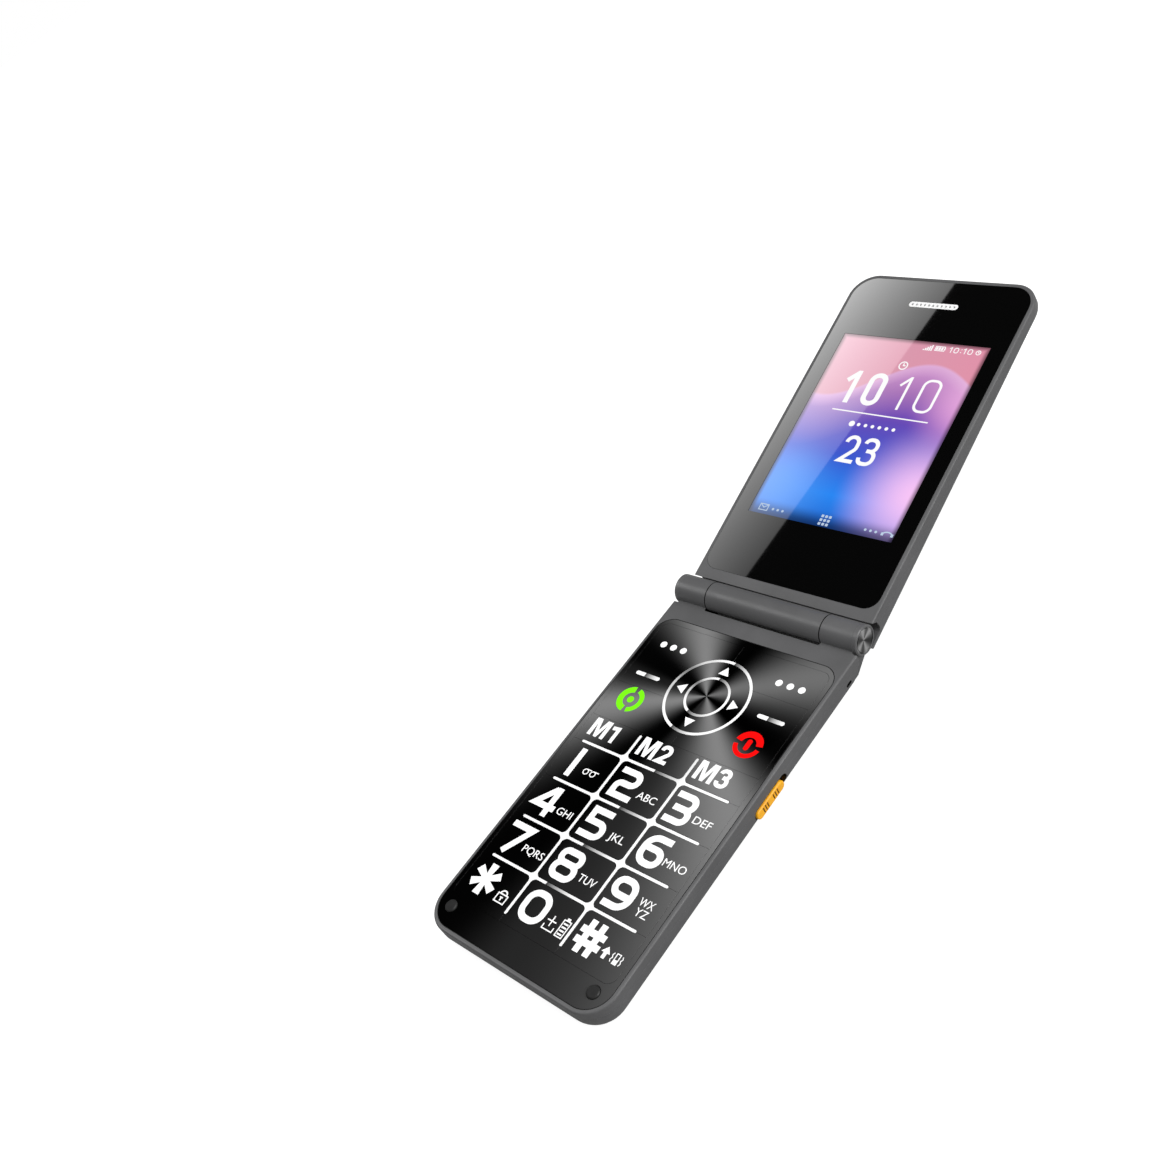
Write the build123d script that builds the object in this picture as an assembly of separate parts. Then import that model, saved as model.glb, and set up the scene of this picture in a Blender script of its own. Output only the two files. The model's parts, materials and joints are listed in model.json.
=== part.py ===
from build123d import *
import math
import os

# Flip phone, standing open: the key half (base) lies on its back and the display half (lid) is
# opened on its stop. Millimetres, +Z up, +X to the user's right, +Y from the chin to the hinge.
# The origin is the middle of the base's flat back, on the surface that the phone rests on.
#
# Both halves are drawn flat, with the hinge axis on X through the origin, and placed at the end.
# "Distance" is measured from the hinge axis along a half, and "depth" from a half's inner face.

# Driving dimensions of the two halves.
base_half_width, base_length, base_depth = 28.1, 105.95, 8.5
lid_half_width, lid_length, lid_depth = 27.2, 103.35, 5.0
opening_angle = 166.5          # between the two inner faces
face_gap = 0.3                 # from the hinge axis down to each inner face
rest_distance = 51.0           # from the hinge axis to the origin
BASE, LID = -1, 1              # the way along Y that leads away from the hinge

# Hinge barrel.
barrel_radius = 3.8
barrel_half_length = 27.75     # over the end caps
cap_length = 1.2
centre_half_length = 17.4      # the lid's part of the barrel
seam_gap = 0.15                # between the barrel's three lengths
notch_distance = 4.65          # edge of the base's notch for the lid's barrel
wrap_clearance = 4.35          # radius that the lid keeps clear round the barrel
knuckle_bore = 2.4
barrel_bore = 2.9

# Base housing.
base_near = 4.4                # where the flat face starts, behind the knuckles
base_corner = 7.6
base_edge_radius = 0.5
base_parting = 2.5             # depth of the joint between front and rear housing
base_back_radius, hollow_chamfer = 5.2, 3.0
wall = 1.2
ledge_top, ledge_bottom = 1.2, 2.0

# Keypad panel, keys and ribs.
panel_half_width, panel_near, panel_far = 27.0, 9.6, 104.75
panel_near_corner, panel_far_corner = 4.6, 6.5
key_field_half_width, key_field_near, key_field_far, key_field_corner = 25.75, 11.2, 97.6, 2.4
key_thickness, key_travel = 1.1, 0.3
key_seam = 0.025               # half of the gap between two keys
fit_gap = 0.05
column = 8.87                  # rib lines either side of the middle column
row_first, row_pitch = 50.2, 11.64
rib_half_width = 0.33
rib_gap = 0.12                 # dark outline between a rib and the keys
rib_star = 1.65                # half size of the star where ribs cross
column_rib_start, column_rib_end = 43.2, 95.6
row_rib_half_length = 22.8
side_plungers = ((17.0, 16.6), (18.5, 26.7), (17.5, 37.0))
plunger_half_width = 0.9
nav_distance, nav_plunger_radius = 27.5, 8.15
nav_trim_radius, nav_trim_width = 10.95, 0.72
ok_trim_radius, ok_trim_width = 5.6, 0.66
side_key_edges = (key_field_near, 21.95, 31.45, 42.4)
bumper_x, bumper_distance, bumper_radius = 22.9, 100.2, 1.55

# Levels under the keys, as depths.
mat_top, board_top, board_bottom, bay_ceiling, cover_top = 1.5, 2.15, 2.95, 3.5, 7.6
bay_half_width, bay_near, bay_far = 19.4, 22.0, 97.0
bay_wall = 3.4
cover_half_width, cover_near, cover_far, cover_corner = 21.6, 20.8, 98.2, 3.0

# Lid. Its back falls away from its face towards the hinge, so it is thickest there.
lid_back_slope = 1.4           # degrees between the back and the face
lid_level_distance = 72.0      # where the lid is exactly lid_depth thick
lid_corner = 7.2
lid_lip = 0.3                  # distance where the rear shell ends, behind the barrel
lid_lip_radius = 2.6
pocket_start, pocket_distance, pocket_depth = 24.6, 5.75, 4.35
lid_edge_radius = 0.4
lid_back_radius = 2.0
lid_parting = 2.6
glass_half_width, glass_near, glass_far = 26.1, 7.6, 102.2
glass_near_corner, glass_far_corner, glass_thickness = 3.8, 6.2, 0.95
screen_half_width, screen_near, screen_length = 21.6, 25.75, 57.6
earpiece_distance, earpiece_half_length, earpiece_half_width = 94.6, 7.2, 0.85
cover_panel_depth = 4.35       # floor that the textured panel lies on
window_half_width, window_near, window_far, window_corner = 16.6, 15.8, 80.4, 4.2
window_rim = 0.5

# Where the plates and the axis end up.
axis_height = base_depth + face_gap
lid_rise = 180 - opening_angle


# ---------------------------------------------------------------- drawing helpers

def outline(half_width, near, far, near_corner, far_corner, away):
    """Plate outline between two distances from the hinge, with its corners rounded."""
    shape = Pos(0, away * (near + far) / 2) * Rectangle(2 * half_width, far - near)
    near_end, far_end = (-1, 0) if away == BASE else (0, -1)
    if far_corner:
        shape = fillet(shape.vertices().group_by(Axis.Y)[far_end], far_corner)
    if near_corner:
        shape = fillet(shape.vertices().group_by(Axis.Y)[near_end], near_corner)
    return shape


def slab(shape, top, bottom):
    """Solid from a plan, between two depths under the inner face."""
    return extrude(Pos(0, 0, -face_gap - bottom) * shape, bottom - top)


def block(x_low, x_high, near, far, top, bottom, away):
    """Box between two widths, two distances and two depths."""
    y_low, y_high = sorted((away * near, away * far))
    centre = Pos((x_low + x_high) / 2, (y_low + y_high) / 2)
    return slab(centre * Rectangle(x_high - x_low, y_high - y_low), top, bottom)


def disc(x, distance, radius, top, bottom, away):
    """Upright cylinder between two depths."""
    return slab(Pos(x, away * distance) * Circle(radius), top, bottom)


def along_x(shape, x_low, x_high):
    """Solid from a side view drawn as (Y, Z), between two places along the hinge axis."""
    return extrude(Plane.YZ.offset(x_low) * shape, x_high - x_low, dir=(1, 0, 0))


def rod(radius, x_low, x_high):
    """Cylinder on the hinge axis."""
    return along_x(Circle(radius), x_low, x_high)


def rim_edges(face, near, away):
    """Edges of an end face, without the one at the hinge."""
    return [edge for edge in face.edges() if away * edge.center().Y > near + 0.2]


# ---------------------------------------------------------------- base housing

def base_side_view():
    """Side view of the base: its back runs up to the barrel in one rounded slope."""
    back = -face_gap - base_depth
    slope_start = (-7.5, back)
    reach = math.hypot(*slope_start)
    tangent_angle = math.atan2(back, slope_start[0]) + math.acos(barrel_radius / reach)
    tangent = (barrel_radius * math.cos(tangent_angle), barrel_radius * math.sin(tangent_angle))
    side = Polygon(
        (barrel_radius, 5), (-base_length - 5, 5), (-base_length - 5, back), slope_start, tangent,
        (barrel_radius, tangent[1]), align=None)
    knee = side.vertices().sort_by_distance((*slope_start, 0))[0]
    web = Polygon((-base_near, -face_gap), (0, -face_gap), tangent,
                  (-base_near, -20), align=None)
    return fillet(knee, 9), web


def knuckle(x_low, x_high, side, web):
    """Outer hinge knuckle, with the web that ties it to the front housing."""
    foot = along_x(web, x_low, x_high) & along_x(side, x_low, x_high)
    return foot + rod(barrel_radius, x_low, x_high)


def cheek_cuts():
    """Bevel that thins the ends of the side walls beside the turned caps."""
    bevel = Polygon((-base_near + 0.6, -1.5), (0, -1.5), (0, -15), (-15, -15), align=None)
    bevel = fillet(bevel.vertices().sort_by_distance((-base_near + 0.6, -1.5, 0))[0], 2.0)
    inner = barrel_half_length - cap_length
    return along_x(bevel, -30, -inner) + along_x(bevel, inner, 30)


def front_housing():
    """Front shell with the key window, the ledge for the panel and the two outer knuckles."""
    side, web = base_side_view()
    shell = slab(outline(base_half_width, base_near, base_length, 0, base_corner, BASE),
                 0, base_parting)
    shell = fillet(rim_edges(shell.faces().sort_by(Axis.Z)[-1], base_near, BASE),
                   base_edge_radius)
    shell -= slab(outline(panel_half_width + fit_gap, panel_near - fit_gap, panel_far + fit_gap,
                          panel_near_corner, panel_far_corner, BASE), 0, ledge_top)
    shell -= slab(outline(key_field_half_width + 0.1, key_field_near - 0.1, key_field_far + 0.1,
                          key_field_corner, key_field_corner, BASE), 0, base_parting)
    shell -= slab(outline(base_half_width - wall, 9.0, base_length - wall, 1.0,
                          base_corner - wall, BASE), ledge_bottom, base_parting)
    for x in (-chin_screw_x, chin_screw_x):
        shell += disc(x, chin_screw_distance, 1.8, ledge_bottom, base_parting, BASE)
    inner_end = centre_half_length + seam_gap
    outer_end = barrel_half_length - cap_length
    shell -= block(-inner_end, inner_end, 0, notch_distance, 0, base_parting, BASE)
    for low, high in ((-outer_end, -inner_end), (inner_end, outer_end)):
        shell += knuckle(low, high, side, web)
        shell -= rod(knuckle_bore, low, high)
    return shell - cheek_cuts() - screw_holes()


def base_lower(half_width, near, length, corner, bottom, soften, back_radius):
    """Lower body with a softened back edge, from the housing joint down."""
    body = slab(outline(half_width, near, length, 0, corner, BASE), base_parting, bottom)
    return soften(rim_edges(body.faces().sort_by(Axis.Z)[0], near, BASE), back_radius)


# Screws that close the base: two beside the hinge, two at the chin.
hinge_screw_x, hinge_screw_distance = 22.0, 7.4
chin_screw_x, chin_screw_distance = 17.0, 101.0
screw_shank, screw_head, screw_head_height = 0.75, 1.35, 0.8
hinge_screw_seat, chin_screw_seat = 4.4, 5.4


def screw_places():
    """Each screw as x, distance and the depth of its head's seat."""
    return [(side * x, distance, seat) for side in (-1, 1) for x, distance, seat in (
        (hinge_screw_x, hinge_screw_distance, hinge_screw_seat),
        (chin_screw_x, chin_screw_distance, chin_screw_seat))]


def screw_holes():
    """Clearance for every shank and head, as one tool."""
    tool = Part()
    for x, distance, seat in screw_places():
        tool += disc(x, distance, screw_shank + fit_gap, 1.3, seat + 0.1, BASE)
        tool += disc(x, distance, screw_head + 0.1, seat, base_depth + 1, BASE)
    return tool


def base_screws():
    """Four pan-head screws, each turned from a shank, a head and a cross recess."""
    screws = []
    for x, distance, seat in screw_places():
        screw = disc(x, distance, screw_shank, 1.4, seat, BASE)
        screw += disc(x, distance, screw_head, seat, seat + screw_head_height, BASE)
        for width, length in ((0.3, 1.4), (1.4, 0.3)):
            screw -= block(x - width / 2, x + width / 2, distance - length / 2,
                           distance + length / 2, seat + 0.4, seat + screw_head_height, BASE)
        screws.append(screw.solid())
    return Compound(children=screws)


# Openings in the right-hand and left-hand walls.
slider_depth, slider_slot_height = 4.2, 2.7
slider_slot_near, slider_slot_far = 36.9, 49.4
lanyard_near, lanyard_far, lanyard_depth, lanyard_height = 8.9, 10.8, 3.9, 0.9
socket_near, socket_far, socket_top, socket_bottom = 60.0, 67.6, 2.95, 5.65


def wall_slot(near, far, depth, height, x_low, x_high):
    """Round-ended slot through a side wall."""
    shape = Pos(-(near + far) / 2, -face_gap - depth) * SlotOverall(far - near, height)
    return along_x(shape, x_low, x_high)


def rear_housing():
    """Rear shell: rounded back, battery bay with a ledge for the cover, posts and grille."""
    side, _ = base_side_view()
    shell = base_lower(base_half_width, base_near, base_length, base_corner, base_depth,
                       fillet, base_back_radius)
    shell &= along_x(side, -30, 30)
    shell -= base_lower(base_half_width - wall, 9.0, base_length - wall, base_corner - wall,
                        cover_top, chamfer, hollow_chamfer)
    inner_end = centre_half_length + seam_gap
    shell -= block(-inner_end, inner_end, 0, notch_distance, 0, base_depth + 1, BASE)
    shell += slab(outline(bay_half_width + bay_wall, bay_near - 2.4, bay_far + 2.0, 1, 1, BASE),
                  board_bottom, cover_top + 0.2)
    for x in (-chin_screw_x, chin_screw_x):
        shell += disc(x, chin_screw_distance, 2.3, base_parting, cover_top + 0.2, BASE)
    shell -= slab(outline(bay_half_width, bay_near, bay_far, 1.5, 1.5, BASE),
                  bay_ceiling, base_depth + 1)
    shell -= slab(outline(cover_half_width + fit_gap, cover_near - fit_gap,
                          cover_far + fit_gap, cover_corner, cover_corner, BASE),
                  cover_top, base_depth + 1)
    shell -= block(-8, 8, 38.0, 39.8, board_bottom, bay_ceiling, BASE)
    shell -= wall_slot(slider_slot_near, slider_slot_far, slider_depth, slider_slot_height,
                       25, 30)
    shell -= wall_slot(lanyard_near, lanyard_far, lanyard_depth, lanyard_height, 25.4, 30)
    shell -= block(-30, -21.9, socket_near - 0.1, socket_far + 0.1, base_parting,
                   socket_bottom + 0.1, BASE)
    for index in range(7):
        x = (index - 3) * 2.2
        slot = Pos(x, -14.8) * SlotOverall(6.4, 1.0, rotation=90)
        shell -= slab(slot, cover_top - 0.5, base_depth + 1)
    return shell - cheek_cuts() - screw_holes()


def battery_cover():
    """Snap-in back plate with a thumb recess."""
    plate = slab(outline(cover_half_width, cover_near, cover_far, cover_corner, cover_corner,
                         BASE), cover_top, base_depth)
    thumb = Pos(0, -cover_near - 3.4, -face_gap - base_depth - 8.6) * Sphere(9)
    return plate - thumb


# ---------------------------------------------------------------- keypad

def key_row(index):
    return row_first + index * row_pitch


def rib_plan(half_width):
    """Plan of the rib web, grown or shrunk evenly by its half width."""
    growth = half_width - rib_half_width
    plan = Sketch()
    for side in (-1, 1):
        length = column_rib_end - column_rib_start + 2 * growth
        middle = -(column_rib_start + column_rib_end) / 2
        plan += Pos(side * column, middle) * SlotOverall(length, 2 * half_width, rotation=90)
    for index in range(4):
        length = 2 * row_rib_half_length + 2 * growth
        plan += Pos(0, -key_row(index)) * SlotOverall(length, 2 * half_width)
        for side in (-1, 1):
            plan += Pos(side * column, -key_row(index)) * rib_star_plan(half_width)
    return plan


def rib_star_plan(half_width):
    """Four-pointed star that the rounded key corners leave at a crossing."""
    star = Rectangle(2 * rib_star, 2 * rib_star)
    for x in (-rib_star, rib_star):
        for y in (-rib_star, rib_star):
            star -= Pos(x, y) * Circle(rib_star - half_width)
    return star


edges_x = (-key_field_half_width, -column, column, key_field_half_width)
edges_y = (side_key_edges[-1], key_row(0), key_row(1), key_row(2), key_row(3), key_field_far)
field_plungers = [[((edges_x[place] + edges_x[place + 1]) / 2, (edges_y[row] + edges_y[row + 1]) / 2)
                   for place in range(3)] for row in range(5)]
nav_plungers = [(nav_plunger_radius * x, nav_distance + nav_plunger_radius * y)
                for x, y in ((1, 0), (0, 1), (-1, 0), (0, -1))]


def key_plan(x_low, x_high, near, far):
    """Plan of one key cell inside the key field, less the seams round it."""
    field = outline(key_field_half_width - fit_gap, key_field_near + fit_gap,
                    key_field_far - fit_gap, key_field_corner, key_field_corner, BASE)
    width, length = x_high - x_low, far - near
    cell = Pos((x_low + x_high) / 2, -(near + far) / 2) * Rectangle(
        width - 2 * key_seam, length - 2 * key_seam)
    return field & cell


def plunger(x, distance, top, bottom, growth=0.0):
    """Square post under a key, or the hole that it needs."""
    half = plunger_half_width + growth
    return block(x - half, x + half, distance - half, distance + half, top, bottom, BASE)


def keycap(plan, *plungers):
    """Cap with the posts that press through the mat on to the board's contacts."""
    cap = slab(plan, 0, key_thickness)
    for x, distance in plungers:
        cap += plunger(x, distance, key_thickness, board_top - key_travel)
    return cap.solid()


def side_keys():
    """Keys round the navigation disc: options, soft and call keys, left and right."""
    names = ("options_key", "soft_key", "call_key")
    disc_clearance = nav_trim_radius + nav_trim_width / 2 + fit_gap
    keys = {}
    for side, label in ((-1, "left"), (1, "right")):
        for index, name in enumerate(names):
            x_low, x_high = sorted((0, side * key_field_half_width))
            plan = key_plan(x_low, x_high, side_key_edges[index], side_key_edges[index + 1])
            plan -= Pos(0, -nav_distance) * Circle(disc_clearance)
            if name == "call_key":
                title = "call_key" if side < 0 else "end_key"
            else:
                title = f"{name}_{label}"
            x, distance = side_plungers[index]
            keys[title] = keycap(plan, (side * x, distance))
    return keys


def field_keys():
    """Memory row and the twelve digit keys, cut back from the ribs."""
    names = (("m1_key", "m2_key", "m3_key"), ("key_1", "key_2", "key_3"),
             ("key_4", "key_5", "key_6"), ("key_7", "key_8", "key_9"),
             ("key_star", "key_0", "key_hash"))
    ribs = rib_plan(rib_half_width + rib_gap)
    keys = {}
    for row, titles in enumerate(names):
        for place, title in enumerate(titles):
            plan = key_plan(edges_x[place], edges_x[place + 1], edges_y[row], edges_y[row + 1])
            keys[title] = keycap(plan - ribs, field_plungers[row][place])
    return keys


def ring(radius, width, top, bottom):
    """Ring round the navigation centre."""
    plan = Circle(radius + width / 2) - Circle(radius - width / 2)
    return slab(Pos(0, -nav_distance) * plan, top, bottom)


def nav_keys():
    """Navigation ring and the OK key inside it."""
    inner = ok_trim_radius + ok_trim_width / 2 + fit_gap
    outer = nav_trim_radius - nav_trim_width / 2 - fit_gap
    ok_radius = ok_trim_radius - ok_trim_width / 2 - fit_gap
    centre = Pos(0, -nav_distance)
    return {
        "nav_key": keycap(centre * (Circle(outer) - Circle(inner)), *nav_plungers),
        "ok_key": keycap(centre * Circle(ok_radius), (0, nav_distance)),
    }


def keypad_panel():
    """Glossy surround of the keys, with two pockets for the bumpers."""
    panel = slab(outline(panel_half_width, panel_near, panel_far, panel_near_corner,
                         panel_far_corner, BASE), 0, ledge_top)
    panel -= slab(outline(key_field_half_width, key_field_near, key_field_far,
                          key_field_corner, key_field_corner, BASE), 0, ledge_top)
    for side in (-1, 1):
        panel -= disc(side * bumper_x, bumper_distance, bumper_radius + 0.1, 0, 0.8, BASE)
    return panel


def bumpers():
    """Two round rubber stops with a softened rim."""
    pads = []
    for side in (-1, 1):
        pad = disc(side * bumper_x, bumper_distance, bumper_radius, -0.4, 0.8, BASE)
        pads.append(chamfer(pad.faces().sort_by(Axis.Z)[-1].edges(), 0.2).solid())
    return Compound(children=pads)


def key_mat():
    """Silicone mat under the keys, with a hole for every plunger."""
    mat = slab(outline(25.5, 11.4, 97.4, 2.3, 2.3, BASE), mat_top, board_top)
    places = [(side * x, distance) for side in (-1, 1) for x, distance in side_plungers]
    places += [place for row in field_plungers for place in row]
    places += nav_plungers + [(0, nav_distance)]
    for x, distance in places:
        mat -= plunger(x, distance, mat_top, board_top, 0.2)
    return mat


def main_board():
    """Circuit board with the two notches for the housing snaps."""
    board = slab(outline(25.6, 9.4, 98.6, 1.0, 1.0, BASE), board_top, board_bottom)
    for side in (-1, 1):
        board -= disc(side * 25.6, 80, 1.5, board_top, board_bottom, BASE)
    return board


# ---------------------------------------------------------------- inside the base

def battery():
    """Flat pack with rounded long edges."""
    pack = block(-18.8, 18.8, 40, 92, bay_ceiling, cover_top, BASE)
    return fillet(pack.edges().filter_by(Axis.Y), 1.2)


def battery_contacts():
    """Contact block with three spring fingers that meet the pack."""
    body = block(-6, 6, 37.0, 39.2, bay_ceiling, bay_ceiling + 2.4, BASE)
    for x in (-4, 0, 4):
        body += block(x - 0.6, x + 0.6, 39.2, 40, bay_ceiling + 0.8, bay_ceiling + 1.6, BASE)
    return body


def usb_connector():
    """Metal charging socket with its mouth towards the left side."""
    shell = block(-26.9, -22.0, socket_near, socket_far, socket_top, socket_bottom, BASE)
    mouth = block(-26.9, -22.6, socket_near + 0.35, socket_far - 0.35, socket_top + 0.35,
                  socket_bottom - 0.35, BASE)
    tongue = block(-26.2, -22.6, socket_near + 1.9, socket_far - 1.9, socket_top + 1.1,
                   socket_top + 1.6, BASE)
    return shell - mouth + tongue


def loudspeaker():
    """Ringer box over the grille slots, with its round membrane ring."""
    box = block(-9, 9, 10.4, 19.2, 3.9, cover_top - 0.3, BASE)
    lip = block(-9, 9, 10.4, 19.2, cover_top - 0.3, cover_top, BASE)
    return box + (lip - block(-8.2, 8.2, 11.2, 18.4, cover_top - 0.3, cover_top, BASE))


def vibration_motor():
    """Coin motor."""
    return disc(15.4, 14.8, 4.0, cover_top - 2.6, cover_top, BASE)


def antenna_carrier():
    """Plastic carrier of the chin antenna, arched to save weight."""
    carrier = block(-12, 12, bay_far + 2.0, 102.6, 2.6, 5.2, BASE)
    return carrier - block(-9, 9, bay_far + 2.0, 102.6, 3.4, 5.2, BASE)


def slide_switch_body():
    """Switch on the board behind the side slider."""
    return block(23.6, 25.95, 39, 47, board_bottom, 5.0, BASE)


slider_near, slider_far = 38.7, 49.2


def side_slider():
    """Slide button: round-ended thumb piece with ridges, and the flange that keeps it in."""
    height = slider_slot_height - 2 * 0.1
    thumb = wall_slot(slider_near, slider_far, slider_depth, height, 26.45, 28.65)
    thumb = fillet(thumb.faces().sort_by(Axis.X)[-1].edges(), 0.35)
    for group in (slider_near + 2.6, slider_far - 4.0):
        for index in range(3):
            ridge = group + index * 0.8
            thumb -= block(28.45, 29, ridge - 0.17, ridge + 0.17, 3.3, 5.1, BASE)
    flange = block(26.0, 26.5, slider_near - 1.0, slider_far + 1.0, 3.2, 5.0, BASE)
    return (thumb + flange).solid()


# ---------------------------------------------------------------- hinge

pin_radius = 1.0
cartridge_end, cartridge_mouth = 1.5, 17.3
cam_face, follower_face = 16.9, 15.8
cam_lobe = 0.5


def hinge_end_caps():
    """Two turned caps: rim, groove and dished face, with a boss in the knuckle's bore."""
    start = barrel_half_length - cap_length
    profile = Polyline(
        (0, start - 1.2), (knuckle_bore - fit_gap, start - 1.2), (knuckle_bore - fit_gap, start),
        (barrel_radius, start), (barrel_radius, barrel_half_length - 0.25),
        (barrel_radius - 0.25, barrel_half_length), (3.3, barrel_half_length),
        (3.2, barrel_half_length - 0.3), (2.95, barrel_half_length - 0.3),
        (2.85, barrel_half_length - 0.1), (0, barrel_half_length - 0.45), close=True)
    turned = revolve(make_face(profile), Axis.Y)
    right = Rot(0, 0, -90) * turned
    return Compound(children=[right.solid(), (Rot(0, 0, 90) * turned).solid()])


def lobes(face, way, radius):
    """Two wedge lobes across a cam face, pointing along the hinge axis."""
    ridge = Polygon((face, -0.9), (face + way * cam_lobe, 0), (face, 0.9), align=None)
    wedge = extrude(ridge, radius, both=True)
    blank = rod(radius, min(face, face + way * cam_lobe), max(face, face + way * cam_lobe))
    return (wedge & blank) - rod(pin_radius + 0.4, face - 1, face + 1)


def hinge_cam_shaft():
    """Shaft keyed in the right knuckle, with its cam and the pin that the spring rides on."""
    end = barrel_half_length - cap_length - 1.3
    shaft = rod(knuckle_bore - fit_gap, cam_face, end)
    flat = Pos((cam_face + end) / 2 + 1.5, 0, 2.4) * Box(end - cam_face - 3, 5, 0.8)
    return shaft - flat + rod(pin_radius, cartridge_end - 0.6, cam_face) + lobes(cam_face, -1, 2.2)


def hinge_cartridge():
    """Steel can pressed into the lid's barrel."""
    can = rod(barrel_bore - 0.03, cartridge_end, cartridge_mouth)
    can -= rod(2.3, cartridge_end + 0.8, cam_face - 0.1)
    can -= rod(knuckle_bore + 0.02, cam_face - 0.1, cartridge_mouth)
    return can - rod(pin_radius + 0.06, cartridge_end, cartridge_end + 0.8)


def hinge_follower():
    """Cam follower inside the can, with its two lobes."""
    body = rod(2.24, follower_face - 2.4, follower_face) - rod(
        pin_radius + 0.06, follower_face - 2.4, follower_face)
    return body + lobes(follower_face, 1, 2.24)


def hinge_spring():
    """Compression spring between the can's end and the follower."""
    start, end = cartridge_end + 0.8, follower_face - 2.4
    wire = 0.5
    length = end - start - wire
    coil = Helix(pitch=length / 5, height=length, radius=1.66)
    section = Plane(origin=coil @ 0, x_dir=(1, 0, 0), z_dir=coil % 0) * Rectangle(wire, 0.4)
    spring = sweep(section, path=coil, is_frenet=True)
    return Pos(start + wire / 2, 0, 0) * Rot(0, 90, 0) * spring


def hinge_bush():
    """Hollow bush that carries the left end of the lid's barrel."""
    end = barrel_half_length - cap_length - 1.3
    bush = rod(knuckle_bore - fit_gap, -end, -centre_half_length + 2.0)
    return bush - rod(1.7, -end, -centre_half_length + 2.0)


# ---------------------------------------------------------------- lid

def on_slope(piece):
    """Piece of the lid's back, turned to lie with the slope of the back."""
    level = Pos(0, lid_level_distance, -face_gap - lid_depth)
    return level * Rot(lid_back_slope, 0, 0) * level.inverse() * piece


def lid_side_view():
    """Side view of the rear shell below its joint, with a rounded lip behind the barrel."""
    joint = -face_gap - lid_parting
    slope = math.tan(math.radians(lid_back_slope))
    lip, tip = (-face_gap - lid_depth - slope * (lid_level_distance - distance)
                for distance in (lid_lip, lid_length + 5))
    side = Polygon((lid_lip, joint), (lid_lip, lip), (lid_length + 5, tip),
                   (lid_length + 5, joint), align=None)
    return fillet(side.vertices().sort_by_distance((lid_lip, lip, 0))[0], lid_lip_radius)


def lid_pockets():
    """Clearance that the ends of the lid's side walls leave round the turned caps."""
    floor = -face_gap - pocket_depth
    view = Polygon((-5, 1), (4.5, 1), (4.5, -face_gap), (pocket_distance, -face_gap - 1.4),
                   (pocket_distance, floor), (-5, floor), align=None)
    view = fillet(view.vertices().sort_by_distance((pocket_distance, floor, 0))[0], 1.4)
    return along_x(view, -30, -pocket_start) + along_x(view, pocket_start, 30)


def lid_front_frame():
    """Front frame: seat of the glass, hinge strip and the centre barrel with its web."""
    frame = slab(outline(lid_half_width, lid_lip, lid_length, 2.4, lid_corner, LID),
                 0, lid_parting)
    frame = fillet(rim_edges(frame.faces().sort_by(Axis.Z)[-1], 3.5, LID), lid_edge_radius)
    frame -= rod(wrap_clearance, -30, 30)
    frame -= block(-30, 30, -5, 4.5, 0, lid_parting, LID)
    frame -= slab(outline(glass_half_width + fit_gap, glass_near - fit_gap,
                          glass_far + fit_gap, glass_near_corner, glass_far_corner, LID),
                  0, glass_thickness)
    frame -= slab(outline(lid_half_width - 1.0, 6.0, lid_length - 1.0, 1.0,
                          lid_corner - 1.0, LID), glass_thickness + 0.6, lid_parting)
    frame -= slab(outline(24.8, 20.6, 99.0, 1.0, 1.0, LID), 0, lid_parting)
    web = Polygon((1.0, -1.3), (5.2, -1.3), (5.2, -face_gap - lid_parting),
                  (1.0, -face_gap - lid_parting), align=None)
    frame += along_x(web, -centre_half_length, centre_half_length)
    frame += rod(barrel_radius, -centre_half_length, centre_half_length)
    frame -= rod(barrel_bore, -centre_half_length + 2.2, centre_half_length)
    frame -= rod(knuckle_bore + 0.02, -centre_half_length, centre_half_length)
    frame -= block(flex_low - 0.1, flex_high + 0.1, 0, 6.5, flex_top - 0.3, flex_top + 0.1, LID)
    return frame - lid_pockets()


def lid_rear_shell():
    """Rear shell that wraps behind the barrel, with a seat for the textured panel."""
    shell = slab(outline(lid_half_width, lid_lip - 1, lid_length, 0, lid_corner, LID),
                 lid_parting - 2, lid_depth)
    shell = fillet(rim_edges(shell.faces().sort_by(Axis.Z)[0], 1.5, LID), lid_back_radius)
    shell = on_slope(shell) & along_x(lid_side_view(), -30, 30)
    shell -= rod(wrap_clearance, -30, 30)
    hollow = slab(outline(lid_half_width - 1.0, 7.0, lid_length - 1.0, 1.0, lid_corner - 1.0,
                          LID), lid_parting - 2, cover_panel_depth - 0.75)
    shell -= on_slope(hollow)
    shell -= on_slope(slab(cover_panel_plan(fit_gap), cover_panel_depth, lid_depth + 1))
    shell -= lid_pockets()
    return shell - slab(icon_slot_plan(0.1), lid_parting, lid_depth + 2)


def cover_panel_plan(growth):
    return outline(25.0 + growth, 8.6 - growth, 101.1 + growth, 5.0, 5.2, LID)


def window_plan(growth):
    return outline(window_half_width + growth, window_near - growth, window_far + growth,
                   window_corner + growth, window_corner + growth, LID)


def lid_cover_panel():
    """Thin textured panel, inlaid in the rear shell, with the window's opening."""
    panel = slab(cover_panel_plan(0), cover_panel_depth, lid_depth - 0.12)
    panel -= slab(window_plan(window_rim + fit_gap), cover_panel_depth, lid_depth)
    return on_slope(panel)


def window_trim():
    """Thin bright frame round the outer window."""
    frame = window_plan(window_rim) - window_plan(0)
    return on_slope(slab(frame, cover_panel_depth, lid_depth - 0.05))


def outer_window():
    """Black outer lens."""
    return on_slope(slab(window_plan(-fit_gap), cover_panel_depth, lid_depth - 0.08))


icon_distances = (31.0, 46.8, 65.4)


def icon_slot_plan(growth):
    """Three square openings in the rear shell, one for each indicator."""
    plan = Sketch()
    for distance in icon_distances:
        plan += Pos(0, distance) * RectangleRounded(8 + 2 * growth, 7 + 2 * growth, 1)
    return plan


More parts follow.
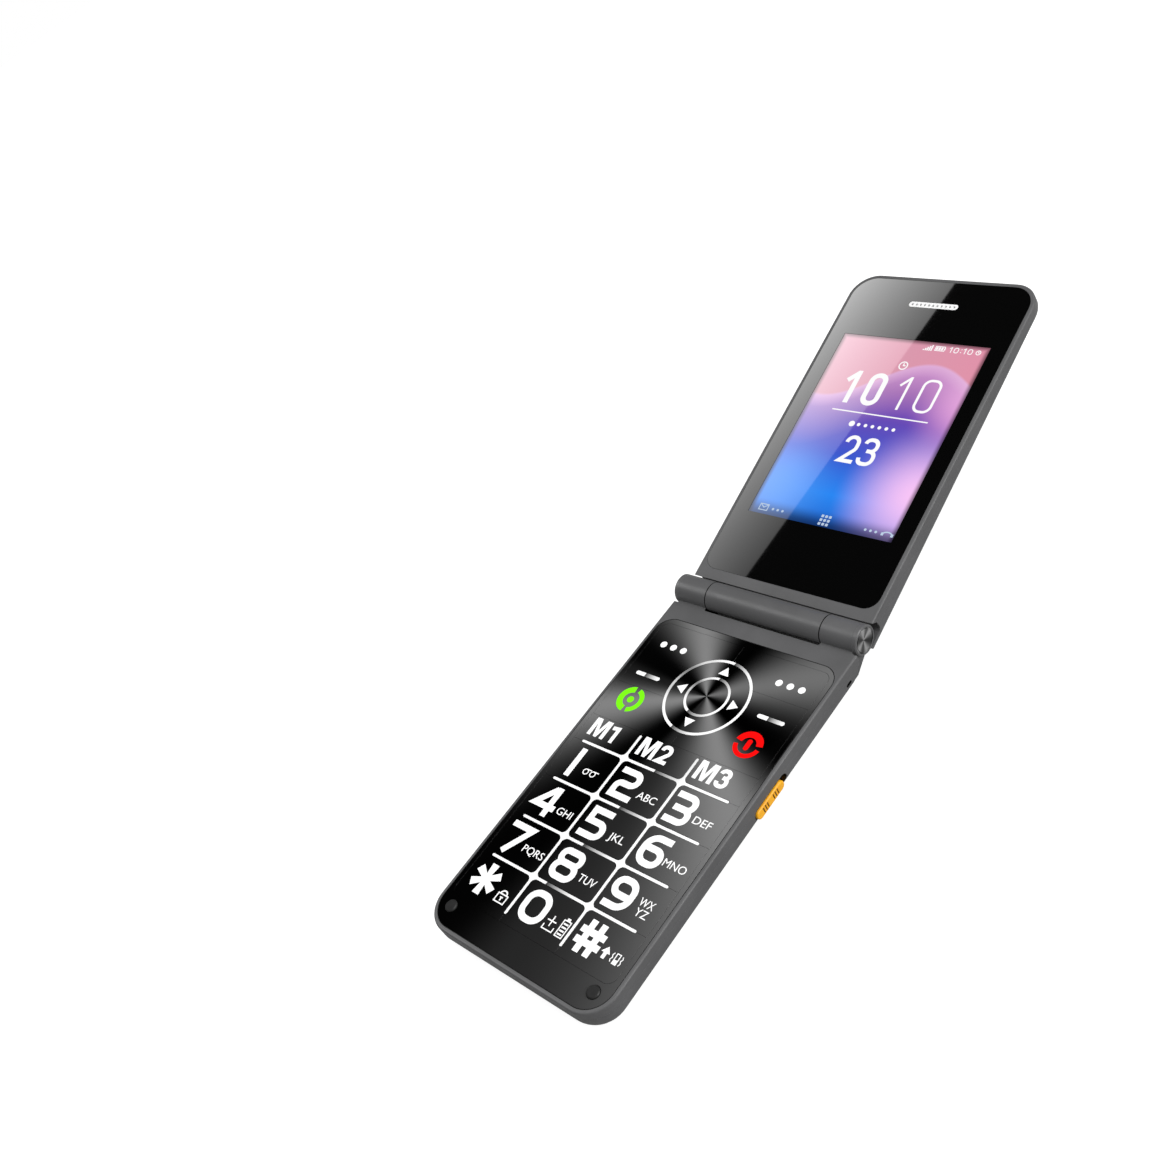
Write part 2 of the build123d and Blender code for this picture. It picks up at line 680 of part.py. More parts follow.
def icon_lights():
    """Light guide: a bar on the board with a lens pad up to the window for each icon."""
    bar = slab(Pos(0, 48.2) * Rectangle(7, 46), 3.3, 3.55)
    pads = slab(icon_slot_plan(0), 3.3, lid_depth + 1)
    return bar + pads - on_slope(slab(cover_panel_plan(0), cover_panel_depth, lid_depth + 2))


def display_glass():
    """Cover glass with the earpiece slot."""
    glass = slab(outline(glass_half_width, glass_near, glass_far, glass_near_corner,
                         glass_far_corner, LID), 0, glass_thickness)
    slot = Pos(0, earpiece_distance) * SlotOverall(
        2 * earpiece_half_length + 0.1, 2 * earpiece_half_width + 0.1)
    return glass - slab(slot, 0, glass_thickness)


def earpiece_grille():
    """Grille bar with eleven holes in a row."""
    bar = slab(Pos(0, earpiece_distance) * SlotOverall(
        2 * earpiece_half_length, 2 * earpiece_half_width), 0, glass_thickness)
    for index in range(11):
        bar -= disc((index - 5) * 1.23, earpiece_distance, 0.32, 0, glass_thickness, LID)
    return bar


def earpiece_speaker():
    """Receiver capsule behind the grille."""
    return block(-6, 6, 91.6, 97.6, glass_thickness, 2.9, LID)


def display_module():
    """Display with its metal back frame, glued under the glass."""
    return block(-24.2, 24.2, 21.2, 88.0, glass_thickness, 2.9, LID)


def lid_board():
    """Small board behind the display."""
    return block(-21, 21, 22, 81, 2.9, 3.3, LID)


# Flex cable: a turn round the axis inside the barrel, then a tail to the display.
flex_low, flex_high, flex_top = -13.0, -7.0, 1.85


def lid_flex():
    depth_z = -face_gap - flex_top
    coil_outer = -depth_z
    coil = rod(coil_outer, flex_low, flex_high) - rod(coil_outer - 0.2, flex_low, flex_high)
    return coil + block(flex_low, flex_high, 0, 21.2, flex_top - 0.2, flex_top, LID)


# ---------------------------------------------------------------- place and write

base_pieces = {
    "front_housing": front_housing(), "rear_housing": rear_housing(),
    "battery_cover": battery_cover(), "battery": battery(),
    "battery_contacts": battery_contacts(), "keypad_panel": keypad_panel(),
    "keypad_grid": slab(rib_plan(rib_half_width), 0, mat_top),
    "nav_ring_trims": Compound(children=[
        ring(nav_trim_radius, nav_trim_width, 0, mat_top).solid(),
        ring(ok_trim_radius, ok_trim_width, 0, mat_top).solid()]),
    "key_mat": key_mat(), "main_board": main_board(), "usb_connector": usb_connector(),
    "loudspeaker": loudspeaker(), "vibration_motor": vibration_motor(),
    "antenna_carrier": antenna_carrier(), "slide_switch_body": slide_switch_body(),
    "side_slider": side_slider(), "bumpers": bumpers(), "base_screws": base_screws(),
    "hinge_end_caps": hinge_end_caps(), "hinge_cam_shaft": hinge_cam_shaft(),
    "hinge_bush": hinge_bush(), **side_keys(), **nav_keys(), **field_keys(),
}
lid_pieces = {
    "lid_front_frame": lid_front_frame(), "lid_rear_shell": lid_rear_shell(),
    "lid_cover_panel": lid_cover_panel(), "window_trim": window_trim(),
    "outer_window": outer_window(), "icon_lights": icon_lights(),
    "display_glass": display_glass(), "display_module": display_module(),
    "earpiece_grille": earpiece_grille(), "earpiece_speaker": earpiece_speaker(),
    "lid_board": lid_board(), "lid_flex": lid_flex(), "hinge_cartridge": hinge_cartridge(),
    "hinge_follower": hinge_follower(), "hinge_spring": hinge_spring(),
}

axis_place = Pos(0, rest_distance, axis_height)
os.makedirs("parts", exist_ok=True)
for name, piece in base_pieces.items():
    export_step(axis_place * piece, f"parts/{name}.step")
for name, piece in lid_pieces.items():
    export_step(axis_place * Rot(lid_rise, 0, 0) * piece, f"parts/{name}.step")
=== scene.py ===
import json
import math

import bmesh
import bpy
from mathutils import Matrix, Vector
from mathutils.geometry import delaunay_2d_cdt


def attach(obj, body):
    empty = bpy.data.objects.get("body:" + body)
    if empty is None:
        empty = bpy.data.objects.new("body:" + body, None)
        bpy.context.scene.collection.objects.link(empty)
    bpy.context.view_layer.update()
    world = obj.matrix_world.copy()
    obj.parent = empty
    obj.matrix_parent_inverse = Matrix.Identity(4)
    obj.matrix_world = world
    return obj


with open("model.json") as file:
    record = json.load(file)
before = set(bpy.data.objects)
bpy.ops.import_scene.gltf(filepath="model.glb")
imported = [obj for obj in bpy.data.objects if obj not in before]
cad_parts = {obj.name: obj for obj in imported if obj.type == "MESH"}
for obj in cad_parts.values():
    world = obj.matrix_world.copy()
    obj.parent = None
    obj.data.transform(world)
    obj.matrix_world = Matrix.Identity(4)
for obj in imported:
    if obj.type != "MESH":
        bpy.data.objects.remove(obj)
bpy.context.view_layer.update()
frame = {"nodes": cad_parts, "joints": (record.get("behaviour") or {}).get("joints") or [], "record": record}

nodes = frame["nodes"]

# ---------- painted housings
# The two halves are clamshells of moulded polycarbonate, sprayed with satin graphite paint.
# Front and rear housings meet in a joint along the side walls and are screwed from the back.

hinge = next(joint for joint in frame["joints"] if joint["name"] == "lid_hinge")
hinge_point = Vector(hinge["pos_m"])
lid_rise = math.radians(180 - hinge["range_deg"][1])
HALF_TURN = {"base": 0.0, "lid": lid_rise}


def add_node(tree, kind, inputs=None, **settings):
    """Add one shader node; an input is a plain value or the socket that feeds it."""
    node = tree.nodes.new(f"ShaderNode{kind}")
    for name, value in settings.items():
        setattr(node, name, value)
    for name, value in (inputs or {}).items():
        if isinstance(value, bpy.types.NodeSocket):
            tree.links.new(value, node.inputs[name])
        else:
            node.inputs[name].default_value = value
    return node


def sum_up(tree, operation, *values):
    """One step of arithmetic in a material."""
    return add_node(tree, "Math", dict(enumerate(values)), operation=operation).outputs[0]


def blank_finish(name, color, roughness, **sockets):
    """A new material; what is the same all over stands on the shader's own sockets."""
    material = bpy.data.materials.new(name)
    material.use_nodes = True
    shader = material.node_tree.nodes["Principled BSDF"]
    shader.inputs["Base Color"].default_value = (*color, 1)
    shader.inputs["Roughness"].default_value = roughness
    for socket, value in sockets.items():
        shader.inputs[socket.replace("_", " ")].default_value = value
    return material, material.node_tree, shader


def feed(shader, **sockets):
    """Let nodes feed some of the shader's sockets."""
    for socket, source in sockets.items():
        shader.id_data.links.new(source, shader.inputs[socket.replace("_", " ")])


def half_place(tree, half):
    """Place in millimetres on a half of the phone: X across, Y away from the hinge axis, Z up."""
    spot = add_node(tree, "TexCoord").outputs["Object"]
    return add_node(tree, "Mapping", {
        "Vector": spot, "Location": hinge_point, "Rotation": (HALF_TURN[half], 0, 0),
        "Scale": (0.001, 0.001, 0.001)}, vector_type="TEXTURE").outputs[0]


def noise(tree, place, grain_mm, detail=2.0):
    """Irregular mottling whose grains are about grain_mm across."""
    return add_node(tree, "TexNoise", {
        "Vector": place, "Scale": 1 / grain_mm, "Detail": detail}).outputs["Fac"]


def grade(tree, value, *stops, ease="LINEAR"):
    """Turn a 0 to 1 value into a colour; a stop is a position and a grey or a colour."""
    ramp = add_node(tree, "ValToRGB", {"Fac": value})
    ramp.color_ramp.interpolation = ease
    marks = ramp.color_ramp.elements
    while len(marks) < len(stops):
        marks.new(0.5)
    for mark, (position, color) in zip(marks, stops):
        mark.position = position
        mark.color = (*color, 1) if isinstance(color, tuple) else (color, color, color, 1)
    return ramp.outputs["Color"]


def blend(tree, factor, one, two, way="MIX"):
    """Mix two colours; 0 gives the first."""
    return add_node(tree, "Mix", {"Factor": factor, "A": one, "B": two},
                    data_type="RGBA", blend_type=way).outputs["Result"]


def axes(tree, place):
    """The X, Y and Z of a place."""
    return add_node(tree, "SeparateXYZ", {"Vector": place}).outputs


def apart(tree, value, middle):
    """How far a value is from the middle."""
    return sum_up(tree, "ABSOLUTE", sum_up(tree, "SUBTRACT", value, middle))


def within(tree, value, middle, reach):
    """1 where the value is nearer than reach to the middle, and 0 elsewhere."""
    return sum_up(tree, "LESS_THAN", apart(tree, value, middle), reach)


def in_box(tree, spot, *sides):
    """1 inside a box; a side is its middle and half its length, along X, Y and maybe Z."""
    inside = 1.0
    for axis, (middle, half_length) in zip("XYZ", sides):
        inside = sum_up(tree, "MULTIPLY", inside, within(tree, spot[axis], middle, half_length))
    return inside


def length(tree, across, along):
    """Length of a line that goes so far across and so far along."""
    line = add_node(tree, "CombineXYZ", {"X": across, "Y": along}).outputs[0]
    return add_node(tree, "VectorMath", {0: line}, operation="LENGTH").outputs["Value"]


def past_plate(tree, spots, middles, half_sizes, corner=0.0):
    """How far a place lies outside a plate with rounded corners; below 0 inside it."""
    reaches = [sum_up(tree, "ADD", sum_up(tree, "SUBTRACT", apart(tree, spot, middle), half_size), corner)
               for spot, middle, half_size in zip(spots, middles, half_sizes)]
    outer = length(tree, *(sum_up(tree, "MAXIMUM", reach, 0.0) for reach in reaches))
    inner = sum_up(tree, "MINIMUM", sum_up(tree, "MAXIMUM", *reaches), 0.0)
    return sum_up(tree, "SUBTRACT", sum_up(tree, "ADD", outer, inner), corner)


def rough_up(tree, shader, height, depth_mm, edge_mm=0.0):
    """Relief of the surface, with the sharp moulded edges broken by edge_mm."""
    inputs = {"Height": height, "Strength": 1.0, "Distance": depth_mm / 1000}
    if edge_mm:
        edges = add_node(tree, "Bevel", {"Radius": edge_mm / 1000}, samples=4)
        inputs["Normal"] = edges.outputs[0]
    feed(shader, Normal=add_node(tree, "Bump", inputs).outputs[0])


def dress(finish, *names):
    """Give CAD nodes their finish."""
    for name in names:
        nodes[name].material_slots[0].material = finish


BARREL_SEAM, BARREL_REACH = 17.475, 4.4
SEAM_SHADE = 0.15  # width of paint beside a seam that is darkened as painted shade
PANEL_HALF_WIDTH, PANEL_HALF_LENGTH, PANEL_MIDDLE = 27.0, 47.575, -57.175
PANEL_NEAR_CORNER, PANEL_FAR_CORNER = 4.6, 6.5
PANEL_SHADE, PANEL_SHADE_FOOT = 0.2, -1.0
WALL_INSIDE = 26.0
# Lanyard opening and slot of the slide switch, painted black with their brim as shade: middle, height and
# half sizes with the brim.
WALL_SLOTS = ((-9.85, -4.2, 1.05, 0.55), (-43.15, -4.5, 6.32, 1.42))
# The hollow inside the base, coloured black as painted shade: middle and half size along X, Y and Z.
SHADED_HOLLOW = ((0.0, 27.6), (-49.0, 43.0), (-3.75, 2.25))
SHADE_BLACK = (0.004, 0.004, 0.004, 1)


def panel_gap_shade(tree, spot):
    """1 along the edge of the key panel's opening, where the paint is darkened as painted shade."""
    near_half = sum_up(tree, "GREATER_THAN", spot["Y"], PANEL_MIDDLE)
    corner = sum_up(tree, "MULTIPLY_ADD", near_half, PANEL_NEAR_CORNER - PANEL_FAR_CORNER,
                    PANEL_FAR_CORNER)
    past = past_plate(tree, (spot["X"], spot["Y"]), (0.0, PANEL_MIDDLE),
                      (PANEL_HALF_WIDTH, PANEL_HALF_LENGTH), corner)
    return sum_up(tree, "MULTIPLY", within(tree, past, 0.0, PANEL_SHADE),
                  sum_up(tree, "GREATER_THAN", spot["Z"], PANEL_SHADE_FOOT))


def wall_slot_shade(tree, spot, middle, height, half_length, half_height):
    """1 in a round-ended opening of the right wall and on its brim, painted black as shade."""
    past = past_plate(tree, (spot["Y"], spot["Z"]), (middle, height), (half_length, half_height),
                      half_height)
    return sum_up(tree, "MULTIPLY", sum_up(tree, "LESS_THAN", past, 0.0),
                  sum_up(tree, "GREATER_THAN", spot["X"], WALL_INSIDE))


def graphite_paint(half):
    """Satin graphite, faintly cloudy, with fine orange peel, and black painted shade in seams and openings.
    """
    finish, tree, shader = blank_finish(f"graphite_{half}", (0.08, 0.08, 0.082), 0.36,
                                        Specular_IOR_Level=0.35)
    place = half_place(tree, half)
    spot = axes(tree, place)
    clouds = noise(tree, place, 14.0)
    color = grade(tree, clouds, (0.3, (0.074, 0.074, 0.0755)), (0.7, (0.088, 0.088, 0.09)))
    # Painted shade: black beside the barrel's seams and, on the base, round the panel, in the wall slots and
    # inside the hollow.
    on_barrel = sum_up(tree, "LESS_THAN", length(tree, spot["Y"], spot["Z"]), BARREL_REACH)
    beside_seam = within(tree, sum_up(tree, "ABSOLUTE", spot["X"]), BARREL_SEAM, SEAM_SHADE)
    painted_shade = sum_up(tree, "MULTIPLY", on_barrel, beside_seam)
    if half == "base":
        slots = [wall_slot_shade(tree, spot, *slot) for slot in WALL_SLOTS]
        for more in (in_box(tree, spot, *SHADED_HOLLOW), panel_gap_shade(tree, spot), *slots):
            painted_shade = sum_up(tree, "MAXIMUM", painted_shade, more)
    satin = grade(tree, noise(tree, place, 3.0), (0.3, 0.32), (0.7, 0.4))
    feed(shader, Base_Color=blend(tree, painted_shade, color, SHADE_BLACK), Roughness=satin)
    rough_up(tree, shader, noise(tree, place, 0.16, 3.0), 0.004, edge_mm=0.18)
    return finish


dress(graphite_paint("base"), "front_housing", "rear_housing", "battery_cover")
dress(graphite_paint("lid"), "lid_front_frame", "lid_rear_shell")

# ---------- works inside
# Boards, battery, loudspeakers and the cam hinge sit inside the halves, and show only
# through the socket, the slots and the hinge gap. Each has its plain factory finish.


def mottled(name, color, low, high, grain_mm, roughness, relief, edge_mm=0.0, **sockets):
    """Two tones (place on the scale, colour) in grains, and a relief (its grain, its depth)."""
    finish, tree, shader = blank_finish(name, color, roughness, **sockets)
    place = half_place(tree, "base")
    feed(shader, Base_Color=grade(tree, noise(tree, place, grain_mm), low, high))
    relief_grain_mm, depth_mm = relief
    rough_up(tree, shader, noise(tree, place, relief_grain_mm), depth_mm, edge_mm)
    return finish


def works_finish(name, color, second_color, grain_mm, roughness, depth_mm, **sockets):
    """A factory finish with two tones and a fine relief."""
    return mottled(name, color, (0.35, color), (0.65, second_color), grain_mm, roughness,
                   (grain_mm / 4, depth_mm), **sockets)


dress(works_finish("solder_mask", (0.01, 0.10, 0.035), (0.015, 0.14, 0.05), 1.2, 0.35, 0.01),
      "main_board", "lid_board")
dress(works_finish("shrink_wrap", (0.16, 0.16, 0.18), (0.2, 0.2, 0.22), 6.0, 0.4, 0.01), "battery")
dress(works_finish("black_nylon", (0.018, 0.018, 0.018), (0.028, 0.028, 0.028), 0.8, 0.6, 0.01),
      "battery_contacts", "loudspeaker", "antenna_carrier", "slide_switch_body", "earpiece_speaker")
dress(works_finish("milky_silicone", (0.5, 0.5, 0.5), (0.6, 0.6, 0.6), 2.0, 0.5, 0.01), "key_mat")
dress(works_finish("amber_film", (0.45, 0.22, 0.04), (0.55, 0.3, 0.05), 2.0, 0.3, 0.005), "lid_flex")
dress(works_finish("zinc_plate", (0.5, 0.5, 0.52), (0.62, 0.62, 0.64), 1.5, 0.32, 0.004, Metallic=1.0),
      "hinge_cam_shaft", "hinge_bush", "hinge_cartridge", "hinge_follower", "hinge_spring",
      "base_screws", "vibration_motor", "usb_connector")

# ---------- key panel and key caps
# One polycarbonate panel frames 23 key caps on a silicone mat. All are gloss black, with painted
# reflections of spun metal in their colour: light and dark wedges fanning out from the ring key's middle.

REFLECTION_FAN_CENTRE = (-0.2, -27.4)
# A wedge of painted reflection: the angle of its middle and its lightness.
PANEL_REFLECTION_WEDGES = ((32, 0.39), (86, 0.0), (127, 0.46), (168, 0.0), (205, 0.46), (251, 0.0), (270, 0.15),
                (316, 0.46), (345, 0.02))
RING_KEY_REFLECTION_WEDGES = ((38, 0.39), (84, 0.0), (117, 0.46), (162, 0.0), (210, 0.46), (258, 0.0), (272, 0.18),
                   (314, 0.46), (341, 0.0))


def fan(tree, around, wedges):
    """Wedges of light and dark round a centre, each the angle of its middle and its lightness."""
    turn = add_node(tree, "TexGradient", {"Vector": around},
                    gradient_type="RADIAL").outputs["Fac"]
    marks = sorted(((angle / 360 + 0.5) % 1, tone) for angle, tone in wedges)
    first, last = marks[0], marks[-1]
    share = (1 - last[0]) / (first[0] + 1 - last[0])
    share = share * share * (3 - 2 * share)
    seam_tone = last[1] + (first[1] - last[1]) * share
    lightness = grade(tree, turn, (0.0, seam_tone), *marks, (1.0, seam_tone), ease="EASE")
    return add_node(tree, "Gamma", {"Color": lightness, "Gamma": 2.2}).outputs[0]


def turning_lines(tree, around, grain_mm):
    """Fine rings that a tool leaves round a centre."""
    radius = add_node(tree, "VectorMath", {0: around}, operation="LENGTH").outputs["Value"]
    return noise(tree, add_node(tree, "CombineXYZ", {"X": radius}).outputs[0], grain_mm, 3.0)


def from_centre(tree):
    """Place on the base, measured from the middle of the ring key."""
    return add_node(tree, "Mapping", {
        "Vector": half_place(tree, "base"),
        "Location": (-REFLECTION_FAN_CENTRE[0], -REFLECTION_FAN_CENTRE[1], 0)}).outputs[0]


def gloss_black_painted_reflections(name, wedges):
    """Gloss black with painted reflections that look like spun metal."""
    finish, tree, shader = blank_finish(name, (0.05, 0.05, 0.05), 0.06, Specular_IOR_Level=0.3)
    around = from_centre(tree)
    feed(shader, Base_Color=fan(tree, around, wedges))
    rough_up(tree, shader, turning_lines(tree, around, 0.35), 0.0002, edge_mm=0.08)
    return finish


key_names = sorted(name for body, members in frame["record"]["behaviour"]["bodies"].items()
                   if body.endswith("_cap") for name in members)
dress(gloss_black_painted_reflections("gloss_black_painted_reflections", PANEL_REFLECTION_WEDGES), "keypad_panel", *key_names)
dress(gloss_black_painted_reflections("gloss_black_ring_painted_reflections", RING_KEY_REFLECTION_WEDGES), "nav_key")

# ---------- ribs and ring trims
# The white web between the keys and the two rings round the middle key are gloss
# mouldings glued into the panel; their colour carries one painted grey sheen line.

# A painted sheen line: where it crosses the middle of the hinge, and its slant.
RIB_SHEEN = (8.6314, 0.157)
RING_SHEEN = (3.935, 0.19)
# Painted dips in the rings' white: the angle round the ring key and the share of white kept.
RING_SHEEN_DIPS = ((90, 1.0), (125, 0.85), (152, 0.5), (178, 0.78), (210, 1.0))


def sheen_white(name, line_foot, line_slope, reach, dip=None):
    """Gloss white with a painted sheen: grey just right of a slanted line, fading back to white."""
    finish, tree, shader = blank_finish(name, (0.9, 0.9, 0.9), 0.25)
    place = half_place(tree, "base")
    spot = axes(tree, place)
    line = sum_up(tree, "MULTIPLY_ADD", spot["Y"], -line_slope, -line_foot)
    fade = sum_up(tree, "DIVIDE", sum_up(tree, "ADD", spot["X"], line), reach)
    color = grade(tree, fade, (0.0, 0.9), (0.02, 0.04), (1.0, 0.9))
    if dip:
        color = blend(tree, 1.0, color, fan(tree, from_centre(tree), dip), way="MULTIPLY")
    feed(shader, Base_Color=color)
    rough_up(tree, shader, noise(tree, place, 0.5), 0.002, edge_mm=0.06)
    return finish


dress(sheen_white("rib_white", *RIB_SHEEN, 9.0), "keypad_grid")
dress(sheen_white("ring_white", *RING_SHEEN, 6.4, RING_SHEEN_DIPS), "nav_ring_trims")

# ---------- small parts of the base
# Orange slide switch in the right wall, turned caps pressed into the ends of the hinge
# barrel, and two rubber bumpers glued into the chin, just short of the closed lid.

# The floors of the slide switch's two groups of three grooves, as boxes, painted dark as shade.
SHADED_GROOVES = (((28.3, 0.2), (-42.1, 1.0), (-4.5, 0.92)), ((28.3, 0.2), (-46.0, 1.0), (-4.5, 0.92)))


def slider_orange():
    """Dyed satin acetal, with painted shade in its grooves."""
    finish, tree, shader = blank_finish("slider_orange", (0.79, 0.37, 0.007), 0.38,
                                        Subsurface_Weight=0.05, Subsurface_Scale=0.0005)
    place = half_place(tree, "base")
    color = grade(tree, noise(tree, place, 4.0), (0.3, (0.74, 0.33, 0.005)), (0.7, (0.83, 0.41, 0.008)))
    spot = axes(tree, place)
    groove_shade = sum_up(tree, "ADD", *(in_box(tree, spot, *groove) for groove in SHADED_GROOVES))
    feed(shader, Base_Color=blend(tree, groove_shade, color, (0.12, 0.045, 0.002, 1)))
    rough_up(tree, shader, noise(tree, place, 0.2), 0.004, edge_mm=0.15)
    return finish


# Painted highlights of the turned dish: the angle of each wedge's middle and its lightness.
CAP_HIGHLIGHT_WEDGES = ((20, 0.6), (47, 0.28), (78, 0.6), (134, 0.13), (187, 0.55), (225, 0.2), (257, 0.55),
              (314, 0.13))
CAP_RIM = 3.25  # outside this radius the cap is painted like the barrel


def turned_cap():
    """Turned dish with painted highlights fanned in wedges, in a rim with the barrel's own paint."""
    finish, tree, shader = blank_finish("turned_cap", (0.2, 0.2, 0.2), 0.36)
    spot = axes(tree, half_place(tree, "base"))
    around = add_node(tree, "CombineXYZ", {"X": spot["Y"], "Y": spot["Z"]}).outputs[0]
    rim = sum_up(tree, "GREATER_THAN", length(tree, spot["Y"], spot["Z"]), CAP_RIM)
    color = blend(tree, rim, fan(tree, around, CAP_HIGHLIGHT_WEDGES), (0.085, 0.085, 0.087, 1))
    feed(shader, Base_Color=color, Metallic=sum_up(tree, "MULTIPLY_ADD", rim, -0.35, 0.35))
    rough_up(tree, shader, turning_lines(tree, around, 0.2), 0.006, edge_mm=0.12)
    return finish


dress(slider_orange(), "side_slider")
dress(mottled("bumper_rubber", (0.018, 0.018, 0.018), (0.3, 0.016), (0.7, 0.021), 1.5, 0.45,
              (0.15, 0.003), edge_mm=0.12, Specular_IOR_Level=0.4), "bumpers")
dress(turned_cap(), "hinge_end_caps")

# ---------- key legends
# Every key carries its sign in raised white ink, drawn with an even pen: bold for the
# numbers, thin for the letters that share the key. Signs are generic and have no names.

INK_RISE = 0.03  # the ink stands this far above the key, in millimetres
INK_FOOT = 0.02  # and reaches this far down into the lacquer
CAPITAL_SHARE = 0.682  # height of a capital letter as a share of the letters' size
FACE_HEIGHT = -0.3  # both halves' inner faces, below the hinge axis
FLAT_ANGLE = 0.01  # corners flatter than this, in radians, leave the print's outline


def show(name, data):
    """A new object, put into the scene."""
    thing = bpy.data.objects.new(name, data)
    bpy.context.scene.collection.objects.link(thing)
    return thing


class Ink:
    """The signs of one key or one part of the screen, drawn flat and then raised as one print."""

    def __init__(self, height=FACE_HEIGHT, rise=INK_RISE, foot=INK_FOOT):
        self.patches = []
        self.low, self.high = height - foot, height + rise

    def shape(self, points):
        """A filled shape, turned the same way round as all the others."""
        corners = [Vector(point) for point in points]
        area = sum(one.cross(two) for one, two in zip(corners, corners[1:] + corners[:1]))
        if abs(area) > 1e-5:
            self.patches.append(corners if area > 0 else corners[::-1])

    def band(self, left, right, closed):
        """A strip between two lines of points."""
        count = len(left)
        for index in range(count if closed else count - 1):
            after = (index + 1) % count
            self.shape([right[index], right[after], left[after]])
            self.shape([right[index], left[after], left[index]])

    def pen(self, corners, width, closed=False, at=(0, 0)):
        """Draw a line through corners (x, y) or (x, y, radius) with a flat-ended pen."""
        path = [Vector(at) + point for point in rounded(corners, closed)]
        left, right = [], []
        for index, point in enumerate(path):
            before = path[index - 1] if closed or index else point
            after = path[(index + 1) % len(path)] if closed or index < len(path) - 1 else point
            one = (point - before).normalized() if point != before else (after - point).normalized()
            two = (after - point).normalized() if point != after else one
            across = Vector((-(one.y + two.y), one.x + two.x)).normalized()
            reach = width / 2 / max(0.35, across.dot(Vector((-one.y, one.x))))
            left.append(point + across * reach)
            right.append(point - across * reach)
        self.band(left, right, closed)

    def ring(self, x, y, radius, width, start=0.0, end=360.0):
        """A ring, or the arc of one between two angles in degrees."""
        whole = end - start >= 360
        steps = max(8, int((end - start) / 7.5))
        angles = [math.radians(start + (end - start) * step / steps)
                  for step in range(steps if whole else steps + 1)]
        inner, outer = ([Vector((x + reach * math.cos(a), y + reach * math.sin(a))) for a in angles]
                        for reach in (radius - width / 2, radius + width / 2))
        self.band(inner, outer, whole)

    def dot(self, x, y, radius):
        """A filled disc."""
        self.shape([(x + radius * math.cos(math.tau * k / 32), y + radius * math.sin(math.tau * k / 32))
                    for k in range(32)])

    def bar(self, x_low, x_high, y_low, y_high, radius=0.0):
        """A filled rectangle, with round corners if a radius is given."""
        corners = [(x_low, y_low), (x_high, y_low), (x_high, y_high), (x_low, y_high)]
        self.shape(rounded([(*corner, radius) for corner in corners], True) if radius else corners)

    def frame(self, x_low, x_high, y_low, y_high, width):
        """The outline of a rectangle."""
        self.pen([(x_low, y_low), (x_high, y_low), (x_high, y_high), (x_low, y_high)], width, closed=True)

    def lay_on_key(self, key, finish):
        """Lay the signs of one key."""
        self.lay(f"sign_{key}", finish, f"{key}_cap", "white_rib")

    def letters(self, words, left, right, foot, height):
        """Plain letters that fill the room from left to right, with capitals of that height."""
        curve = bpy.data.curves.new("letters", "FONT")
        curve.body = words
        curve.size = height / CAPITAL_SHARE
        curve.resolution_u = 4
        holder = bpy.data.objects.new("letters", curve)
        outline = bpy.data.meshes.new_from_object(holder)
        edges = [vertex.co.x for vertex in outline.vertices]
        start, stretch = min(edges), (right - left) / (max(edges) - min(edges))
        for face in outline.polygons:
            spots = [outline.vertices[index].co for index in face.vertices]
            self.shape([(left + (spot.x - start) * stretch, foot + spot.y) for spot in spots])
        bpy.data.objects.remove(holder)
        bpy.data.curves.remove(curve)
        bpy.data.meshes.remove(outline)

    def lay(self, name, finish, body, slot, slope=Matrix()):
        """Join what overlaps, raise it, set it on its half and let it ride with its part."""
        points = [point for patch in self.patches for point in patch]
        faces = []
        for patch in self.patches:
            start = sum(len(face) for face in faces)
            faces.append(list(range(start, start + len(patch))))
        flat, _, tiles, _, _, owners = delaunay_2d_cdt(points, [], faces, 1, 1e-4)
        print_mesh = bmesh.new()
        corners = [print_mesh.verts.new((*point, self.high)) for point in flat]
        for tile, owner in zip(tiles, owners):
            if owner:
                print_mesh.faces.new([corners[index] for index in tile])
        loose = [corner for corner in print_mesh.verts if not corner.link_faces]
        bmesh.ops.delete(print_mesh, geom=loose, context="VERTS")
        bmesh.ops.dissolve_limit(print_mesh, angle_limit=FLAT_ANGLE, verts=print_mesh.verts,
                                 edges=print_mesh.edges)
        foot = bmesh.ops.extrude_face_region(print_mesh, geom=print_mesh.faces[:])["geom"]
        for corner in foot:
            if isinstance(corner, bmesh.types.BMVert):
                corner.co.z = self.low
        bmesh.ops.recalc_face_normals(print_mesh, faces=print_mesh.faces)
        mesh = bpy.data.meshes.new(name)
        print_mesh.to_mesh(mesh)
        print_mesh.free()
        turn = HALF_TURN.get(body, 0.0)
        mesh.transform(Matrix.Translation(hinge_point) @ Matrix.Rotation(turn, 4, "X")
                       @ Matrix.Scale(0.001, 4) @ slope)
        piece = show(name, mesh)
        mesh.materials.append(finish)
        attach(piece, body)


